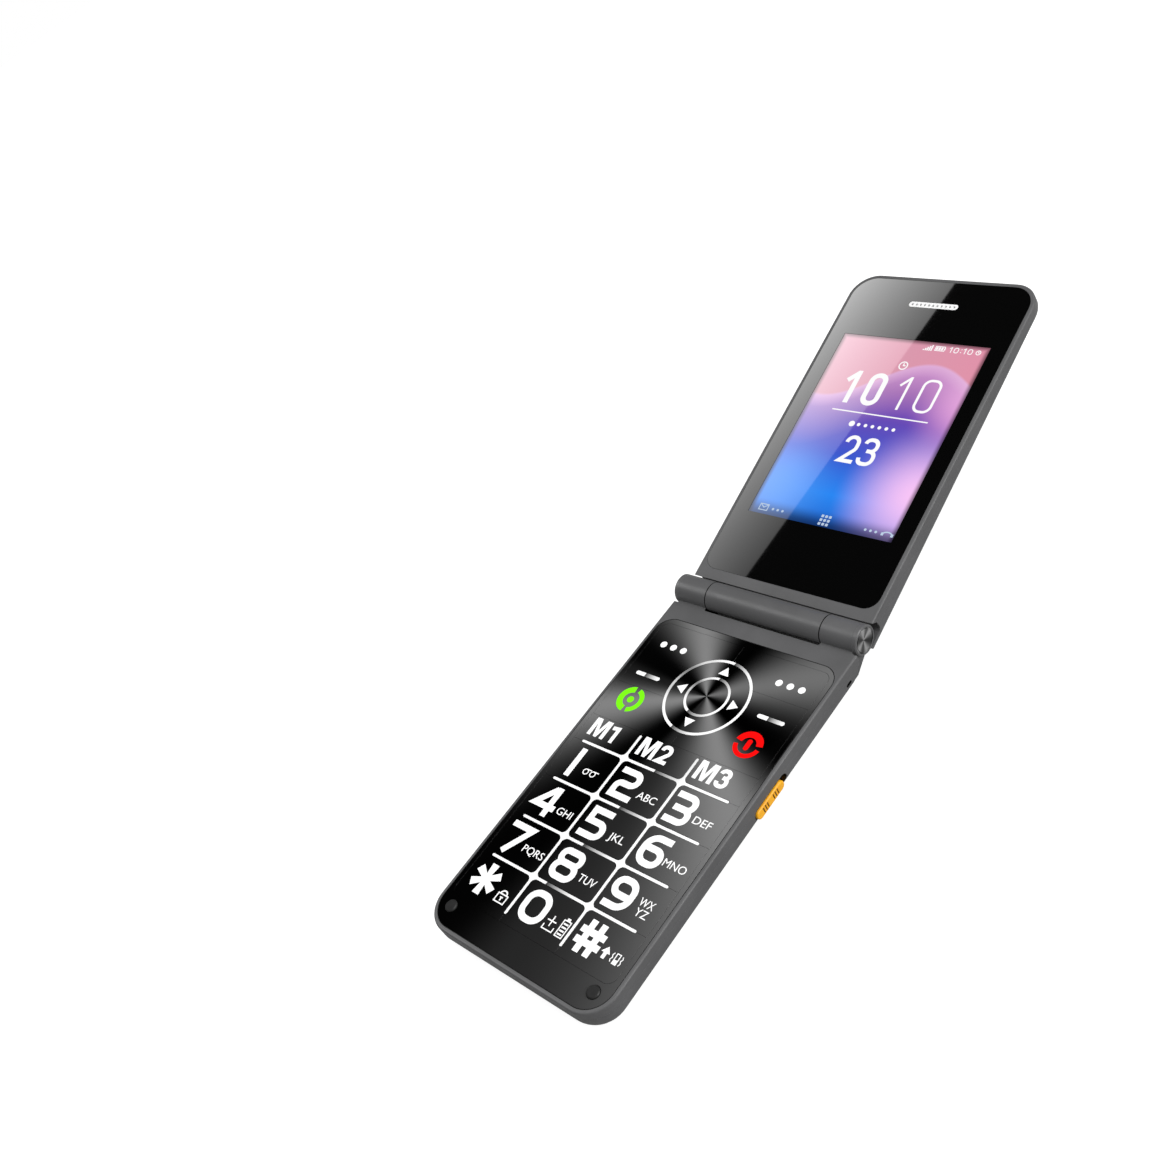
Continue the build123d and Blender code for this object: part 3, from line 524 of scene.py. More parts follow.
def rounded(corners, closed):
    """The points of a line whose corners are rounded by their own radius."""
    path = []
    for index, corner in enumerate(corners):
        point = Vector(corner[:2])
        end = not closed and index in (0, len(corners) - 1)
        if len(corner) < 3 or end:
            path.append(point)
            continue
        one = (Vector(corners[index - 1][:2]) - point).normalized()
        two = (Vector(corners[(index + 1) % len(corners)][:2]) - point).normalized()
        half = one.angle(two) / 2
        centre = point + (one + two).normalized() * corner[2] / math.sin(half)
        setback = corner[2] / math.tan(half)
        start, finish = point + one * setback - centre, point + two * setback - centre
        sweep = -start.angle_signed(finish)
        steps = max(3, int(abs(math.degrees(sweep)) / 10))
        for step in range(steps + 1):
            angle = math.atan2(start.y, start.x) + sweep * step / steps
            path.append(centre + Vector((math.cos(angle), math.sin(angle))) * corner[2])
    kept = [path[0]]
    for point in path[1:]:
        if (point - kept[-1]).length > 1e-3:
            kept.append(point)
    if closed and (kept[-1] - kept[0]).length < 1e-3:
        kept.pop()
    return kept


def flat_ink(name="white_ink", color=(0.93, 0.93, 0.93)):
    """Screen-printed ink: nearly flat, with a slightly broken surface."""
    return mottled(name, color, (0.3, tuple(0.96 * part for part in color)), (0.6, color), 0.3, 0.5,
                   (0.08, 0.002), Specular_IOR_Level=0.06)


BOLD = 1.62  # pen of the big numbers
NUMBER_WIDTH, NUMBER_HEIGHT = 7.2, 8.25
# A number is one or more lines (x, y, radius of the corner), each open or closed.
NUMBERS = {
    "0": [([(0.9, 0.8, 2.5), (6.85, 0.8, 2.5), (6.85, 7.45, 2.5), (0.9, 7.45, 2.5)], True)],
    "1": [([(0.95, 0), (0.95, 8.25)], False)],
    "2": [([(0, 7.45), (6.0, 7.45, 1.65), (6.0, 4.12, 1.65), (0.9, 4.12, 1.3), (0.9, 0.8),
            (6.9, 0.8)], False)],
    "3": [([(0, 7.45), (5.65, 7.45, 1.6), (5.65, 4.15, 1.5), (0.85, 4.15)], False),
          ([(3.5, 4.15), (5.65, 4.15, 1.6), (5.65, 0.8, 1.6), (0, 0.8)], False)],
    "4": [([(7.9, 2.65), (1.5, 2.65), (5.4, 7.75)], False), ([(6.0, 0), (6.0, 8.25)], False)],
    "5": [([(6.4, 7.45), (0.9, 7.45), (0.9, 4.45), (6.1, 4.45, 1.75), (6.1, 0.8, 1.75),
            (0, 0.8)], False)],
    "6": [([(7.0, 7.45), (0.9, 7.45, 2.9), (0.9, 0.8, 2.4), (6.3, 0.8, 1.85), (6.3, 4.6, 1.85),
            (1.2, 4.6)], False)],
    "7": [([(0, 7.45), (6.5, 7.45), (2.1, 0)], False)],
    "8": [([(0.95, 4.43, 1.4), (6.7, 4.43, 1.4), (6.7, 7.45, 1.4), (0.95, 7.45, 1.4)], True),
          ([(0.9, 0.8, 1.75), (6.8, 0.8, 1.75), (6.8, 4.43, 1.75), (0.9, 4.43, 1.75)], True)],
    "#": [([(2.1, 0.05), (2.1, 8.1)], False), ([(5.0, 0.05), (5.0, 8.1)], False),
          ([(0, 5.35), (7.1, 5.35)], False), ([(0, 2.75), (7.1, 2.75)], False)],
}
# A nine is a six, turned round.
NUMBERS["9"] = [([(NUMBER_WIDTH - x, NUMBER_HEIGHT - y, *radius) for x, y, *radius in line], closed)
                for line, closed in NUMBERS["6"]]

# Which number stands on which key, with its left edge; then the letters and where they start.
NUMBER_KEYS = {
    "key_1": ("1", -21.1), "key_2": ("2", -6.85), "key_3": ("3", 10.4),
    "key_4": ("4", -24.15), "key_5": ("5", -6.85), "key_6": ("6", 10.4),
    "key_7": ("7", -23.6), "key_8": ("8", -6.85), "key_9": ("9", 10.4),
    "key_star": ("*", -23.7), "key_0": ("0", -6.85), "key_hash": ("#", 10.65),
}
KEY_LETTERS = {
    "key_2": (("ABC", 1.0, 6.6, 2.1),), "key_3": (("DEF", 17.85, 22.9, 2.1),),
    "key_4": (("GHI", -15.35, -10.6, 2.1),), "key_5": (("JKL", 1.55, 6.1, 2.1),),
    "key_6": (("MNO", 18.0, 24.3, 2.1),), "key_7": (("PQRS", -16.5, -9.9, 2.1),),
    "key_8": (("TUV", 1.8, 6.85, 2.1),), "key_9": (("WX", 19.0, 23.0, 3.7), ("YZ", 19.5, 22.85, 1.3)),
}
FIRST_BASELINE, KEY_PITCH = -60.15, 11.64
LETTER_HEIGHT = 1.9


def small_signs(ink, key):
    """Little pictures for what a long press of the key does."""
    if key == "key_1":
        for x in (-15.75, -13.5):
            ink.ring(x, -57.2, 0.72, 0.26)
            ink.bar(x, x + 1.5, -56.61, -56.35)
    if key == "key_star":
        ink.frame(-14.0, -11.0, -94.2, -92.1, 0.3)
        ink.ring(-12.5, -92.1, 0.95, 0.36, 0, 180)
        ink.bar(-12.68, -12.32, -93.7, -92.9)
        ink.bar(-12.95, -12.05, -93.0, -92.7)
    if key == "key_0":
        ink.bar(1.9, 4.5, -91.95, -91.65)
        ink.bar(3.05, 3.35, -93.1, -90.5)
        ink.pen([(1.75, -93.0), (1.75, -94.1), (4.75, -94.1), (4.75, -93.0)], 0.28)
        ink.frame(5.85, 7.85, -94.2, -90.2, 0.26)
        ink.bar(6.4, 7.3, -90.1, -89.5)
        for step in range(4):
            ink.bar(6.2, 7.5, -93.75 + 0.85 * step, -93.35 + 0.85 * step)
    if key == "key_hash":
        ink.shape([(18.35, -92.0), (19.1, -92.0), (19.1, -93.4), (20.0, -93.4), (20.0, -92.0),
                   (20.75, -92.0), (19.55, -90.5)])
        ink.frame(22.3, 23.3, -93.3, -90.9, 0.22)
        ink.bar(22.3, 23.3, -93.3, -92.3)
        for side in (-1, 1):
            ink.pen([(22.8 + side * (1.15 + 0.28 * (step % 2)), -93.2 + 0.55 * step)
                     for step in range(5)], 0.2)


def draw_star(ink, x, y):
    """Three bow-tie bars crossed in one point."""
    for turn in (0, 60, 120):
        place = Matrix.Translation((x, y, 0)) @ Matrix.Rotation(math.radians(turn), 4, "Z")
        points = [(-1.05, 4.05), (-0.6, 0), (-1.05, -4.05), (1.05, -4.05), (0.6, 0), (1.05, 4.05)]
        ink.shape([(place @ Vector((*point, 0))).to_2d() for point in points])


ink_finish = flat_ink()
for index, (key, (sign, left)) in enumerate(NUMBER_KEYS.items()):
    baseline = FIRST_BASELINE - KEY_PITCH * (index // 3)
    ink = Ink()
    if sign == "*":
        draw_star(ink, left + 4.0, baseline + 4.1)
    else:
        for line, closed in NUMBERS[sign]:
            ink.pen(line, BOLD, closed, at=(left, baseline))
    for letters, start, end, lift in KEY_LETTERS.get(key, ()):
        ink.letters(letters, start, end, baseline + lift, LETTER_HEIGHT)
    small_signs(ink, key)
    ink.lay_on_key(key, ink_finish)

# The three memory keys: a bold M and a number, narrower than the big ones.
MEMORY_M = [(0, 0), (0, 5.2), (1.7, 5.2), (2.6, 1.9), (3.5, 5.2), (5.2, 5.2), (5.2, 0), (4.1, 0),
            (4.1, 3.9), (3.05, 0), (2.15, 0), (1.1, 3.9), (1.1, 0)]
MEMORY_PEN = 1.05
MEMORY_NUMBERS = {
    "m1_key": [[(0.1, 3.95), (1.9, 4.2), (1.9, 0)]],
    "m2_key": [[(0.55, 3.5), (0.55, 4.65, 0.95), (2.9, 4.65, 1.1), (2.9, 3.0, 1.0), (0.75, 0.53),
                (3.45, 0.53)]],
    "m3_key": [[(0.5, 3.7), (0.5, 4.65, 0.95), (2.75, 4.65, 0.95), (2.75, 2.8, 0.85), (1.4, 2.8)],
               [(1.4, 2.8), (2.95, 2.8, 1.05), (2.95, 0.55, 1.05), (0.5, 0.55, 0.95), (0.5, 1.6)]],
}
MEMORY_LEFT = {"m1_key": -23.25, "m2_key": -7.25, "m3_key": 10.4}
MEMORY_FOOT, MEMORY_NUMBER_START = -48.1, 5.85
for key, lines in MEMORY_NUMBERS.items():
    ink = Ink()
    left = MEMORY_LEFT[key]
    ink.shape([(left + x, MEMORY_FOOT + y) for x, y in MEMORY_M])
    for line in lines:
        ink.pen(line, MEMORY_PEN, at=(left + MEMORY_NUMBER_START, MEMORY_FOOT))
    ink.lay_on_key(key, ink_finish)

# ---------- signs round the ring key
# Three dots and a dash mark the side keys, and four arrows mark the ring key, all raised
# like the legends. The dashes are printed in gloss white, with the web's painted sheen line.

DOTS_ACROSS, DOT_PITCH, DOTS_ALONG = 17.99, 3.25, -17.7
DASH_ACROSS, DASH_HALF_LENGTH = 19.0, 3.8
for side, label in ((-1, "left"), (1, "right")):
    ink = Ink()
    for step in (-1, 0, 1):
        ink.dot(side * DOTS_ACROSS + DOT_PITCH * step, DOTS_ALONG, 0.93)
    ink.lay_on_key(f"options_key_{label}", ink_finish)
    ink = Ink()
    middle = side * DASH_ACROSS
    ink.bar(middle - DASH_HALF_LENGTH, middle + DASH_HALF_LENGTH, -28.1, -27.0, 0.54)
    dash_white = sheen_white(f"dash_white_{label}", middle - 0.9, 0.0, 4.4)
    ink.lay_on_key(f"soft_key_{label}", dash_white)

ink = Ink()
for quarter in range(4):
    turn = Matrix.Translation((0, -27.5, 0)) @ Matrix.Rotation(math.radians(90 * quarter), 4, "Z")
    ink.shape([(turn @ Vector((x, y, 0))).to_2d() for x, y in ((-1.5, 6.95), (1.5, 6.95), (0, 9.4))])
ink.lay_on_key("nav_key", ink_finish)

# ---------- call and end signs
# A green ring for taking a call and a red ring for ending one, each broken in two and
# printed in a bright ink on its key.

CALL_SPOT, END_SPOT = (-18.7, -35.3), (17.9, -35.5)
ink = Ink()
ink.ring(*CALL_SPOT, 2.95, 1.7, 97, 263)
ink.ring(*CALL_SPOT, 3.05, 1.3, -78, 75)
ink.dot(*CALL_SPOT, 0.95)
ink.lay_on_key("call_key", flat_ink("green_ink", (0.18, 0.87, 0.005)))

ink = Ink()
ink.ring(*END_SPOT, 2.9, 1.7, 10, 170)
ink.ring(*END_SPOT, 3.08, 1.15, 190, 350)
ink.bar(END_SPOT[0] - 0.64, END_SPOT[0] + 0.64, END_SPOT[1] - 1.55, END_SPOT[1] + 1.55, 0.6)
ink.lay_on_key("end_key", flat_ink("red_ink", (0.88, 0.0, 0.0)))

# ---------- cover glass
# The lid's inner face is one sheet of glass printed black on its back, with a clear window
# in front of the display and a slot for the earpiece.

WINDOW = ((0.0, 21.65), (54.55, 28.85))  # middle and half size, across and along


def printed_glass():
    """Black gloss, clear in the display's window."""
    finish, tree, shader = blank_finish("printed_glass", (0.0006, 0.0006, 0.0006), 0.02, IOR=1.52)
    clear = in_box(tree, axes(tree, half_place(tree, "lid")), *WINDOW)
    feed(shader, Alpha=sum_up(tree, "SUBTRACT", 1.0, clear))
    return finish


dress(printed_glass(), "display_glass")

# ---------- display and what it shows
# A lit panel bonded to the back of the glass shows a resting screen: clock, date, small
# status signs and a soft abstract backdrop of its own.

IMAGE_DEPTH = 0.08  # of the lit layer under the glass's face
IMAGE_HALF_WIDTH, IMAGE_FOOT, IMAGE_TOP = 21.6, 25.75, 83.35


def display_frame():
    """Folded steel frame of the display."""
    finish, tree, shader = blank_finish("display_frame", (0.45, 0.45, 0.47), 0.4, Metallic=1.0)
    rough_up(tree, shader, noise(tree, half_place(tree, "lid"), 0.3), 0.003)
    return finish


def glow_at(tree, place, x, y, reach):
    """1 at a place on the screen, falling smoothly to 0 at that reach."""
    away = add_node(tree, "VectorMath", {0: place, 1: (x, y, FACE_HEIGHT)},
                    operation="DISTANCE").outputs["Value"]
    return grade(tree, sum_up(tree, "DIVIDE", away, reach), (0.0, 1.0), (1.0, 0.0), ease="EASE")


def backdrop():
    """A soft hill, magenta at its crest through violet to blue at its foot, under a pink sky."""
    finish, tree, shader = blank_finish("backdrop", (0, 0, 0), 0.02, IOR=1.52, Emission_Strength=1.0)
    place = half_place(tree, "lid")
    spot = axes(tree, place)
    picture_length = IMAGE_TOP - IMAGE_FOOT
    height = sum_up(tree, "MULTIPLY_ADD", spot["Y"], 1 / picture_length, -IMAGE_FOOT / picture_length)
    sway = sum_up(tree, "SINE", sum_up(tree, "MULTIPLY_ADD", spot["X"], 0.11, 0.55))
    crest = sum_up(tree, "MULTIPLY_ADD", sway, 6.5, 70.0)
    below = sum_up(tree, "SUBTRACT", crest, spot["Y"])
    across = sum_up(tree, "MULTIPLY_ADD", spot["X"], 0.5 / IMAGE_HALF_WIDTH, 0.5)
    sky = blend(tree, across, (0.66, 0.345, 0.44, 1), (0.75, 0.29, 0.4, 1))
    hill = grade(tree, height, (0.0, (0.02, 0.13, 0.6)), (0.16, (0.02, 0.24, 0.9)),
                 (0.36, (0.045, 0.1, 0.62)), (0.56, (0.13, 0.07, 0.47)), (0.72, (0.3, 0.1, 0.42)),
                 (0.88, (0.5, 0.17, 0.52)))
    for x, y, reach, glow in ((-16.0, 34.0, 18.0, (0.07, 0.3, 0.9, 1)),
                              (22.0, 39.0, 23.0, (0.95, 0.56, 0.93, 1)),
                              (24.0, 66.0, 17.0, (0.76, 0.33, 0.7, 1))):
        hill = blend(tree, glow_at(tree, place, x, y, reach), hill, glow)
    rim = grade(tree, sum_up(tree, "DIVIDE", below, 16.0), (0.0, 0.7), (0.25, 0.28), (1.0, 0.0))
    hill = blend(tree, rim, hill, (0.86, 0.55, 0.78, 1))
    color = blend(tree, sum_up(tree, "MULTIPLY_ADD", below, 1.2, 0.5), sky, hill)
    beside = sum_up(tree, "SUBTRACT", IMAGE_HALF_WIDTH, sum_up(tree, "ABSOLUTE", spot["X"]))
    inward = sum_up(tree, "MINIMUM", beside, sum_up(tree, "SUBTRACT", IMAGE_TOP, spot["Y"]))
    dim_edge = grade(tree, sum_up(tree, "DIVIDE", inward, 1.5), (0.0, 0.3), (1.0, 1.0), ease="EASE")
    dusk = grade(tree, height, (0.0, 0.25), (0.085, 1.0), ease="EASE")
    for shade in (dim_edge, dusk):
        color = blend(tree, 1.0, color, shade, way="MULTIPLY")
    feed(shader, Emission_Color=color)
    return finish


def lit(name, color, strength=1.0):
    """Lit picture elements of one colour."""
    finish, tree, shader = blank_finish(name, (0, 0, 0), 0.3, Emission_Strength=strength)
    glow = noise(tree, half_place(tree, "lid"), 6.0)
    dimmer = tuple(0.97 * part for part in color)
    feed(shader, Emission_Color=grade(tree, glow, (0.3, dimmer), (0.7, color)))
    return finish


dress(display_frame(), "display_module")

ink = Ink(FACE_HEIGHT - IMAGE_DEPTH - 0.05, 0.05, 0.0)
ink.bar(-IMAGE_HALF_WIDTH, IMAGE_HALF_WIDTH, IMAGE_FOOT, IMAGE_TOP)
ink.lay("screen_image", backdrop(), "lid", "display")

screen_white = lit("screen_white", (1.0, 1.0, 1.0))


def screen_ink():
    """Signs on the screen stand just clear of its backdrop."""
    return Ink(FACE_HEIGHT - IMAGE_DEPTH, 0.02, 0.01)


CLOCK_FOOT, CLOCK_TOP = 62.0, 72.2
ink = screen_ink()
for left, stem, oval, pen in ((-13.2, -10.7, -6.8, 1.45), (2.6, 4.9, 8.8, 0.72)):
    flag = CLOCK_TOP - pen / 2
    ink.pen([(left, flag - 2.6), (stem - 0.1, flag), (stem, flag), (stem, CLOCK_FOOT)], pen)
    ink.pen([(oval + x, y, 1.9) for x, y in (
        (pen / 2, CLOCK_FOOT + pen / 2), (5.4 - pen / 2, CLOCK_FOOT + pen / 2), (5.4 - pen / 2, flag),
        (pen / 2, flag))], pen, closed=True)
ink.bar(-13.2, 15.2, 59.42, 59.78)
DATE_TWO = [(0.55, 50.6), (0.75, 52.3, 1.6), (3.9, 52.3, 1.7), (4.0, 48.9, 1.7), (0.75, 45.1),
            (4.75, 45.1)]
DATE_THREE = [[(0.5, 51.0), (0.7, 52.3, 1.4), (4.0, 52.3, 1.7), (4.0, 48.9, 1.4), (1.6, 48.9)],
              [(1.6, 48.9), (4.35, 48.9, 1.7), (4.35, 45.1, 1.7), (0.6, 45.1, 1.4), (0.4, 46.7)]]
ink.pen(DATE_TWO, 1.1, at=(-4.4, 0))
for line in DATE_THREE:
    ink.pen(line, 1.1, at=(1.2, 0))
ink.lay("screen_clock", screen_white, "lid", "display")


def draw_handset(ink, x, y, width, pen):
    """A telephone receiver, lying with its back up."""
    ink.ring(x, y - 0.55 * width, 0.62 * width, pen, 52, 128)
    for side in (-0.42, 0.42):
        ink.bar(x + (side - 0.11) * width, x + (side + 0.11) * width, y - 0.28 * width,
                y - 0.02 * width, 0.03 * width)


def draw_envelope(ink, x, y, width, pen):
    """A closed envelope."""
    half, rise = width / 2, width / 3
    ink.frame(x - half, x + half, y - rise, y + rise, pen)
    ink.pen([(x - half, y + rise), (x, y - 0.1 * rise), (x + half, y + rise)], pen)


def draw_battery(ink, x, y, width, pen, cells):
    """A lying battery with its charge in cells."""
    half, rise = width / 2, width / 4
    ink.frame(x - half, x + half, y - rise, y + rise, pen)
    ink.bar(x + half, x + half + 1.4 * pen, y - rise / 2, y + rise / 2)
    pitch = (width - 2 * pen) / cells
    for cell in range(cells):
        start = x - half + pen + cell * pitch
        ink.bar(start, start + 0.72 * pitch, y - rise + pen, y + rise - pen)


# The small status signs: network bars, battery, clock, the seven days, menu and two shortcuts.
ink = screen_ink()
for step in range(5):
    ink.bar(3.5 + 0.55 * step, 3.88 + 0.55 * step, 80.7, 81.05 + 0.36 * step)
draw_battery(ink, 8.2, 81.6, 2.6, 0.2, 3)
for left, zero in ((10.9, 12.2), (14.8, 16.1)):
    ink.pen([(left, 82.0), (left + 0.55, 82.35), (left + 0.55, 80.75)], 0.22)
    ink.pen([(zero + x, y, 0.45) for x, y in ((0.1, 80.85), (1.2, 80.85), (1.2, 82.3), (0.1, 82.3))],
            0.22, closed=True)
for y in (81.1, 82.0):
    ink.dot(14.25, y, 0.14)
ink.ring(19.0, 81.57, 0.62, 0.22)
ink.bar(18.9, 19.1, 81.5, 82.0)
ink.bar(18.9, 19.4, 81.45, 81.65)
ink.ring(0.5, 75.3, 1.15, 0.32)
ink.bar(0.35, 0.65, 75.2, 76.05)
ink.bar(0.35, 1.15, 75.15, 75.45)
for day in range(7):
    ink.dot(-5.3 + 2.07 * day, 56.1, 0.85 if day == 0 else 0.5)
ink.lay("screen_date", screen_white, "lid", "display")

ink = screen_ink()
for column in range(3):
    for row in range(3):
        ink.bar(-0.05 + 1.12 * column, 0.7 + 1.12 * column, 26.15 + 1.12 * row, 26.9 + 1.12 * row, 0.15)
draw_envelope(ink, -17.6, 27.7, 2.6, 0.26)
draw_handset(ink, 19.6, 27.95, 3.2, 0.34)
for step in range(3):
    ink.dot(-14.6 + 1.5 * step, 27.6, 0.36)
    ink.dot(13.4 + 1.5 * step, 27.6, 0.36)
ink.lay("screen_shortcuts", lit("screen_grey", (0.5, 0.62, 0.78)), "lid", "display")

# ---------- earpiece
# A stamped metal bar with eleven drilled holes, lacquered silver and pressed into the slot
# of the glass.


def grille_metal():
    """Fine brushed satin metal under a silver lacquer."""
    finish, tree, shader = blank_finish("grille_metal", (0.9, 0.9, 0.9), 0.35, Metallic=0.15)
    along_bar = add_node(tree, "Mapping", {
        "Vector": half_place(tree, "lid"), "Scale": (0.15, 8, 8)}).outputs[0]
    brush = noise(tree, along_bar, 1.0, 3.0)
    feed(shader, Base_Color=grade(tree, brush, (0.3, 0.86), (0.7, 0.93)))
    rough_up(tree, shader, brush, 0.003, edge_mm=0.06)
    return finish


dress(grille_metal(), "earpiece_grille")

# ---------- lid cover
# The back of the lid is an inlaid panel with a fine moulded lattice, round a black lens
# with a thin white rim, behind which three signs light up.


def lattice_plastic():
    """Crossing fine ribs, moulded into dark grey plastic."""
    finish, tree, shader = blank_finish("lattice_plastic", (0.09, 0.09, 0.092), 0.45)
    place = half_place(tree, "lid")
    waves = []
    for angle in (45, -45):
        turned = add_node(tree, "Mapping", {
            "Vector": place, "Rotation": (0, 0, math.radians(angle))}).outputs[0]
        waves.append(add_node(tree, "TexWave", {
            "Vector": turned, "Scale": 0.72, "Distortion": 0.0}, bands_direction="X").outputs["Fac"])
    lattice = sum_up(tree, "MULTIPLY", *waves)
    # Painted shade: the colour is darker between the ribs and lighter on them.
    feed(shader, Base_Color=grade(tree, lattice, (0.0, 0.06), (0.6, 0.13)))
    rough_up(tree, shader, lattice, 0.09, edge_mm=0.15)
    return finish


# A light: name, colour, distance from the hinge axis, half its width and half its height.
OUTER_LIGHTS = (("call", (0.04, 0.8, 0.82), 31.0, 2.7, 1.1),
                ("message", (0.26, 0.87, 0.02), 46.8, 2.5, 1.65),
                ("battery", (1.0, 0.004, 0.004), 65.4, 2.8, 1.3))
HALO_REACH = 1.3


def lens_black():
    """Smoked lens, black in its gloss, with a soft glow round each light behind it."""
    finish, tree, shader = blank_finish("lens_black", (0.003, 0.003, 0.003), 0.04, IOR=1.5,
                                        Emission_Strength=1.0)
    place = half_place(tree, "lid")
    feed(shader, Base_Color=grade(tree, noise(tree, place, 20.0), (0.3, 0.002), (0.7, 0.004)))
    spot = axes(tree, place)
    glow = (0, 0, 0, 1)
    for _, color, distance, half_width, half_height in OUTER_LIGHTS:
        past = past_plate(tree, (spot["X"], spot["Y"]), (0.0, distance), (half_width, half_height))
        near = grade(tree, sum_up(tree, "DIVIDE", past, HALO_REACH), (0.0, 0.3), (0.45, 0.06),
                     (1.0, 0.0), ease="EASE")
        glow = blend(tree, near, glow, (*color, 1))
    feed(shader, Emission_Color=glow)
    return finish


dress(lattice_plastic(), "lid_cover_panel")
dress(lens_black(), "outer_window")
dress(flat_ink("rim_white", (0.8, 0.8, 0.8)), "window_trim")
dress(lit("icon_guide", (0.6, 0.65, 0.7), 0.2), "icon_lights")

# The three lights stand upright when the hinge is on top, on the slope of the lid's back.
LENS_HEIGHT = -5.22
SLOPE_DEGREES, SLOPE_MIDDLE = 1.4, Vector((0, 72.0, -5.3))
back_slope = (Matrix.Translation(SLOPE_MIDDLE) @ Matrix.Rotation(math.radians(SLOPE_DEGREES), 4, "X")
              @ Matrix.Translation(-SLOPE_MIDDLE))
for name, color, distance, half_width, half_height in OUTER_LIGHTS:
    ink = Ink(LENS_HEIGHT, 0.01, 0.03)
    if name == "call":
        ink.ring(0, -2.6, 3.3, 0.85, 52, 128)
        for side in (-2.2, 2.2):
            ink.bar(side - 0.62, side + 0.62, -0.75, 0.15, 0.2)
        ink.shape([(-1.9, -1.35), (1.9, -1.35), (0.85, 0.1), (-0.85, 0.1)])
    if name == "message":
        draw_envelope(ink, 0, 0, 5.2, 0.36)
        for side in (-1, 1):
            ink.pen([(side * 2.6, -1.7), (side * 0.75, 0.35)], 0.3)
    if name == "battery":
        ink.bar(-half_width, half_width - 0.7, -half_height, half_height, 0.3)
        ink.bar(half_width - 0.8, half_width, -0.65, 0.65, 0.2)
    upright, ink.patches = ink.patches, []
    for patch in upright:
        ink.shape([(point.x, distance - point.y) for point in patch])
    ink.lay(f"outer_light_{name}", lit(f"outer_light_{name}", color), "lid", "light_guide",
            back_slope)

# ---------- studio
# Plain white floor with a painted shadow under the hinge, white walls, two soft lamps, a third
# that lights only the housings with their hinge caps, and a narrow graded card that only mirrors in the
# glass.

CAMERA_PLACE = Vector((0.185995, -0.095002, 0.232005))
CAMERA_RIGHT = Vector((0.69641462, 0.59527086, -0.40082325))
CAMERA_UP = Vector((-0.2127563, 0.7046787, 0.67687715))
CAMERA_LENS = 41.016
FLOOR_GLOW = 0.85  # keeps the floor white without lighting the phone from below
# The floor's painted shadow under the hinge: middle, share that is quite dark, and reach.
UNDER_HINGE = (("X", -4.5, 0.8, 26.0), ("Y", 0.5, 0.35, 9.0))

FLOOR_CORNERS = ((-1.2, -1.2, 0), (1.2, -1.2, 0), (1.2, 1.2, 0), (-1.2, 1.2, 0))


def studio_plate(name, corners, finish):
    """A flat sheet of the studio, with four corners."""
    mesh = bpy.data.meshes.new(name)
    mesh.from_pydata(corners, [], [(0, 1, 2, 3)])
    mesh.materials.append(finish)
    return show(name, mesh)


floor_finish, tree, shader = blank_finish("floor_white", (0.35, 0.35, 0.35), 0.9,
                                          Emission_Color=(1, 1, 1, 1))
seen = add_node(tree, "LightPath").outputs["Is Camera Ray"]
spot = axes(tree, half_place(tree, "base"))
glow = sum_up(tree, "MULTIPLY", seen, FLOOR_GLOW)
# Painted shadow: the glow is left out under the hinge, so the floor looks shaded there.
dusk = 1.0
for axis, middle, core, reach in UNDER_HINGE:
    away = sum_up(tree, "DIVIDE", apart(tree, spot[axis], middle), reach)
    shade = grade(tree, away, (core, 1.0), (1.0, 0.0), ease="EASE")
    dusk = sum_up(tree, "MULTIPLY", dusk, shade)
glow = sum_up(tree, "MULTIPLY", glow, sum_up(tree, "SUBTRACT", 1.0, dusk))
feed(shader, Emission_Strength=glow)
floor = studio_plate("floor", FLOOR_CORNERS, floor_finish)

camera_data = bpy.data.cameras.new("camera")
camera_data.lens = CAMERA_LENS
camera_data.sensor_width = 36
camera_data.clip_start = 0.01
camera = show("camera", camera_data)
camera_back = CAMERA_RIGHT.cross(CAMERA_UP)
camera.matrix_world = Matrix.Translation(CAMERA_PLACE) @ Matrix(
    (CAMERA_RIGHT, CAMERA_UP, camera_back)).transposed().to_4x4()
bpy.context.scene.camera = camera


PHONE_MIDDLE = Vector((0, 0.05, 0))


def light_only(light, *names):
    """Let a light reach only some pieces."""
    pieces = bpy.data.collections.new(f"lit_by_{light.name}")
    for name in names:
        pieces.objects.link(bpy.data.objects[name])
    light.light_linking.receiver_collection = pieces


def lamp(name, place, size, power):
    """A square soft lamp aimed at the middle of the phone."""
    data = bpy.data.lights.new(name, "AREA")
    data.size = size
    data.energy = power
    light = show(name, data)
    light.location = place
    light.rotation_euler = (PHONE_MIDDLE - light.location).to_track_quat("-Z", "Y").to_euler()
    return light


lamp("top_lamp", (0.4, 0.45, 1.5), 2.0, 20.5)
lamp("right_lamp", (1.0, 0.3, 0.45), 0.6, 7.5)
light_only(lamp("left_lamp", (-0.8, -0.2, 0.85), 0.5, 3.5), "front_housing", "rear_housing",
           "lid_front_frame", "lid_rear_shell", "hinge_end_caps")

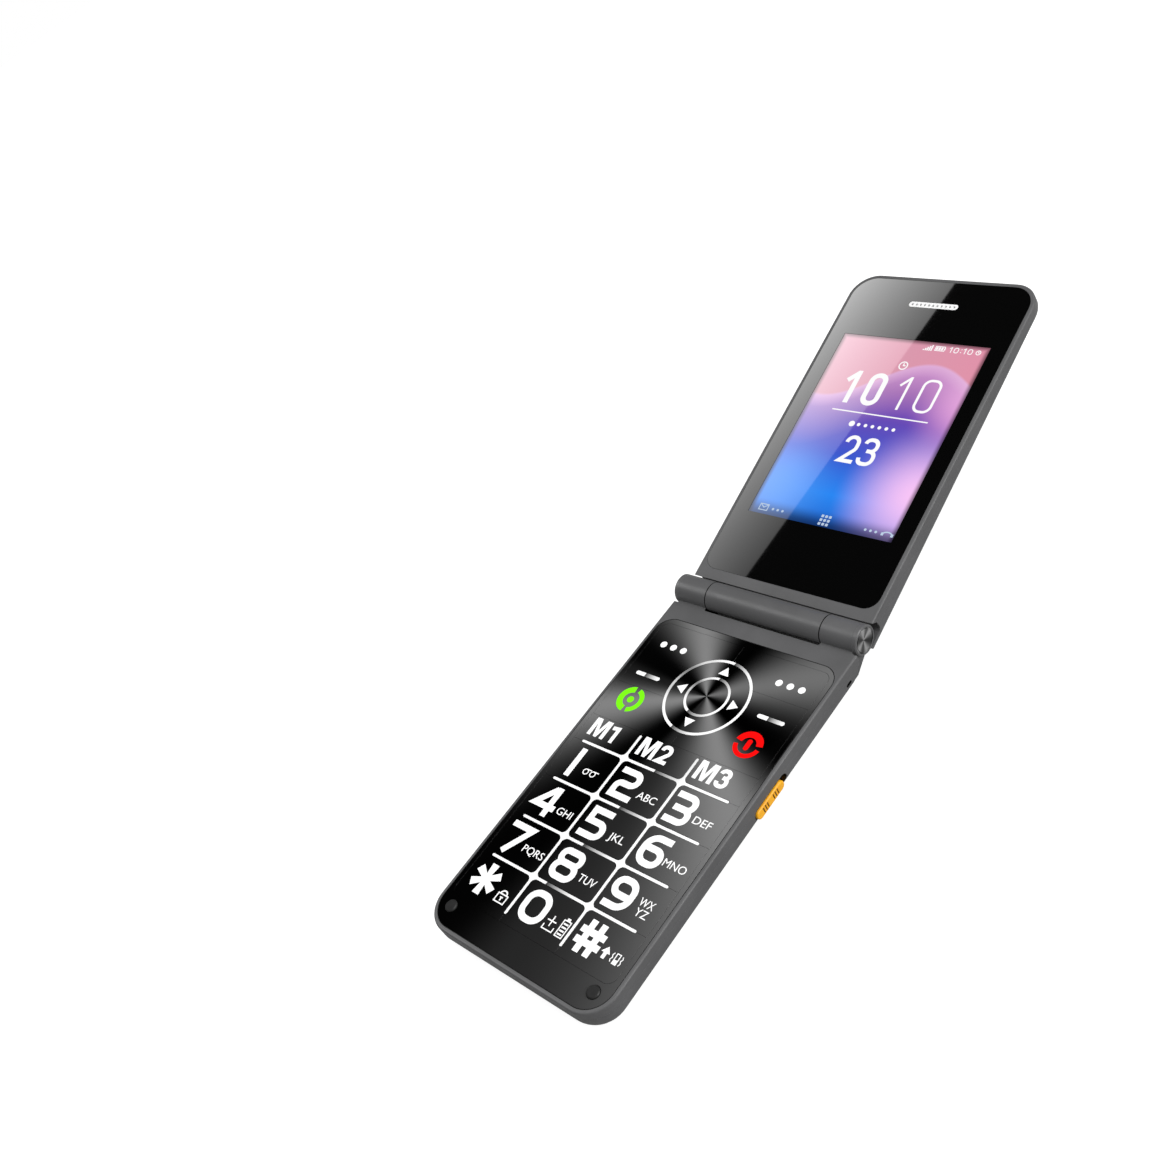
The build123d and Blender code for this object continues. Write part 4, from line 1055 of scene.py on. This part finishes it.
WALL_LIGHT = 0.6  # to the eye the walls are pure white
WALL_MIRRORED = 0.05  # share of the walls' light that gloss mirrors
world = bpy.data.worlds.new("studio_walls")
bpy.context.scene.world = world
world.use_nodes = True
walls = world.node_tree
ray = add_node(walls, "LightPath").outputs
wall_light = sum_up(walls, "MULTIPLY_ADD", ray["Is Camera Ray"], 1 - WALL_LIGHT, WALL_LIGHT)
mirrored = sum_up(walls, "MULTIPLY_ADD", ray["Is Glossy Ray"], WALL_MIRRORED - 1, 1.0)
walls.links.new(sum_up(walls, "MULTIPLY", wall_light, mirrored),
                walls.nodes["Background"].inputs["Strength"])
walls.nodes["Background"].inputs["Color"].default_value = (1, 1, 1, 1)

# The card's edge shows in the glass as a slanted line; its light falls off towards it.
CARD_STRETCH = 2.4
CARD_TONE = 0.153  # at the hinge
CARD_TONE_CHANGES = (-0.0102, 0.0028)  # with each millimetre across and along
CARD_POWER = 19.0
# The card's corners as the glass shows them from the camera.
CARD_ON_GLASS = ((-34.0, 114.0), (4.61, 114.0), (-14.0, -6.0), (-34.0, -6.0))
lid_place = Matrix.Translation(hinge_point) @ Matrix.Rotation(lid_rise, 4, "X") @ Matrix.Scale(0.001, 4)
mirrored_camera = lid_place.inverted() @ CAMERA_PLACE
mirrored_camera.z = 2 * FACE_HEIGHT - mirrored_camera.z


def card_corner(x, y):
    """Where the card has to hang to be mirrored at that place of the glass."""
    spot = Vector((x, y, FACE_HEIGHT))
    return lid_place @ (mirrored_camera + (spot - mirrored_camera) * CARD_STRETCH)


card_finish = bpy.data.materials.new("card_glow")
card_finish.use_nodes = True
tree = card_finish.node_tree
tree.nodes.clear()
spot = axes(tree, half_place(tree, "lid"))
tone = CARD_TONE
for axis, eye, change in zip("XY", mirrored_camera, CARD_TONE_CHANGES):
    on_glass = sum_up(tree, "MULTIPLY_ADD", spot[axis], 1 / CARD_STRETCH,
                      eye * (CARD_STRETCH - 1) / CARD_STRETCH)
    tone = sum_up(tree, "MULTIPLY_ADD", on_glass, change, tone)
glow = sum_up(tree, "POWER", sum_up(tree, "MAXIMUM", tone, 0.0), 2.2)
emission = add_node(tree, "Emission", {"Strength": sum_up(tree, "MULTIPLY", glow, CARD_POWER)})
tree.links.new(emission.outputs[0], add_node(tree, "OutputMaterial").inputs["Surface"])
card = studio_plate("card", [card_corner(*corner) for corner in CARD_ON_GLASS], card_finish)
card.visible_camera = False
card.visible_diffuse = False
card.visible_shadow = False
card.visible_transmission = False
light_only(card, "display_glass", "screen_image")

bpy.context.scene.view_settings.view_transform = "Standard"
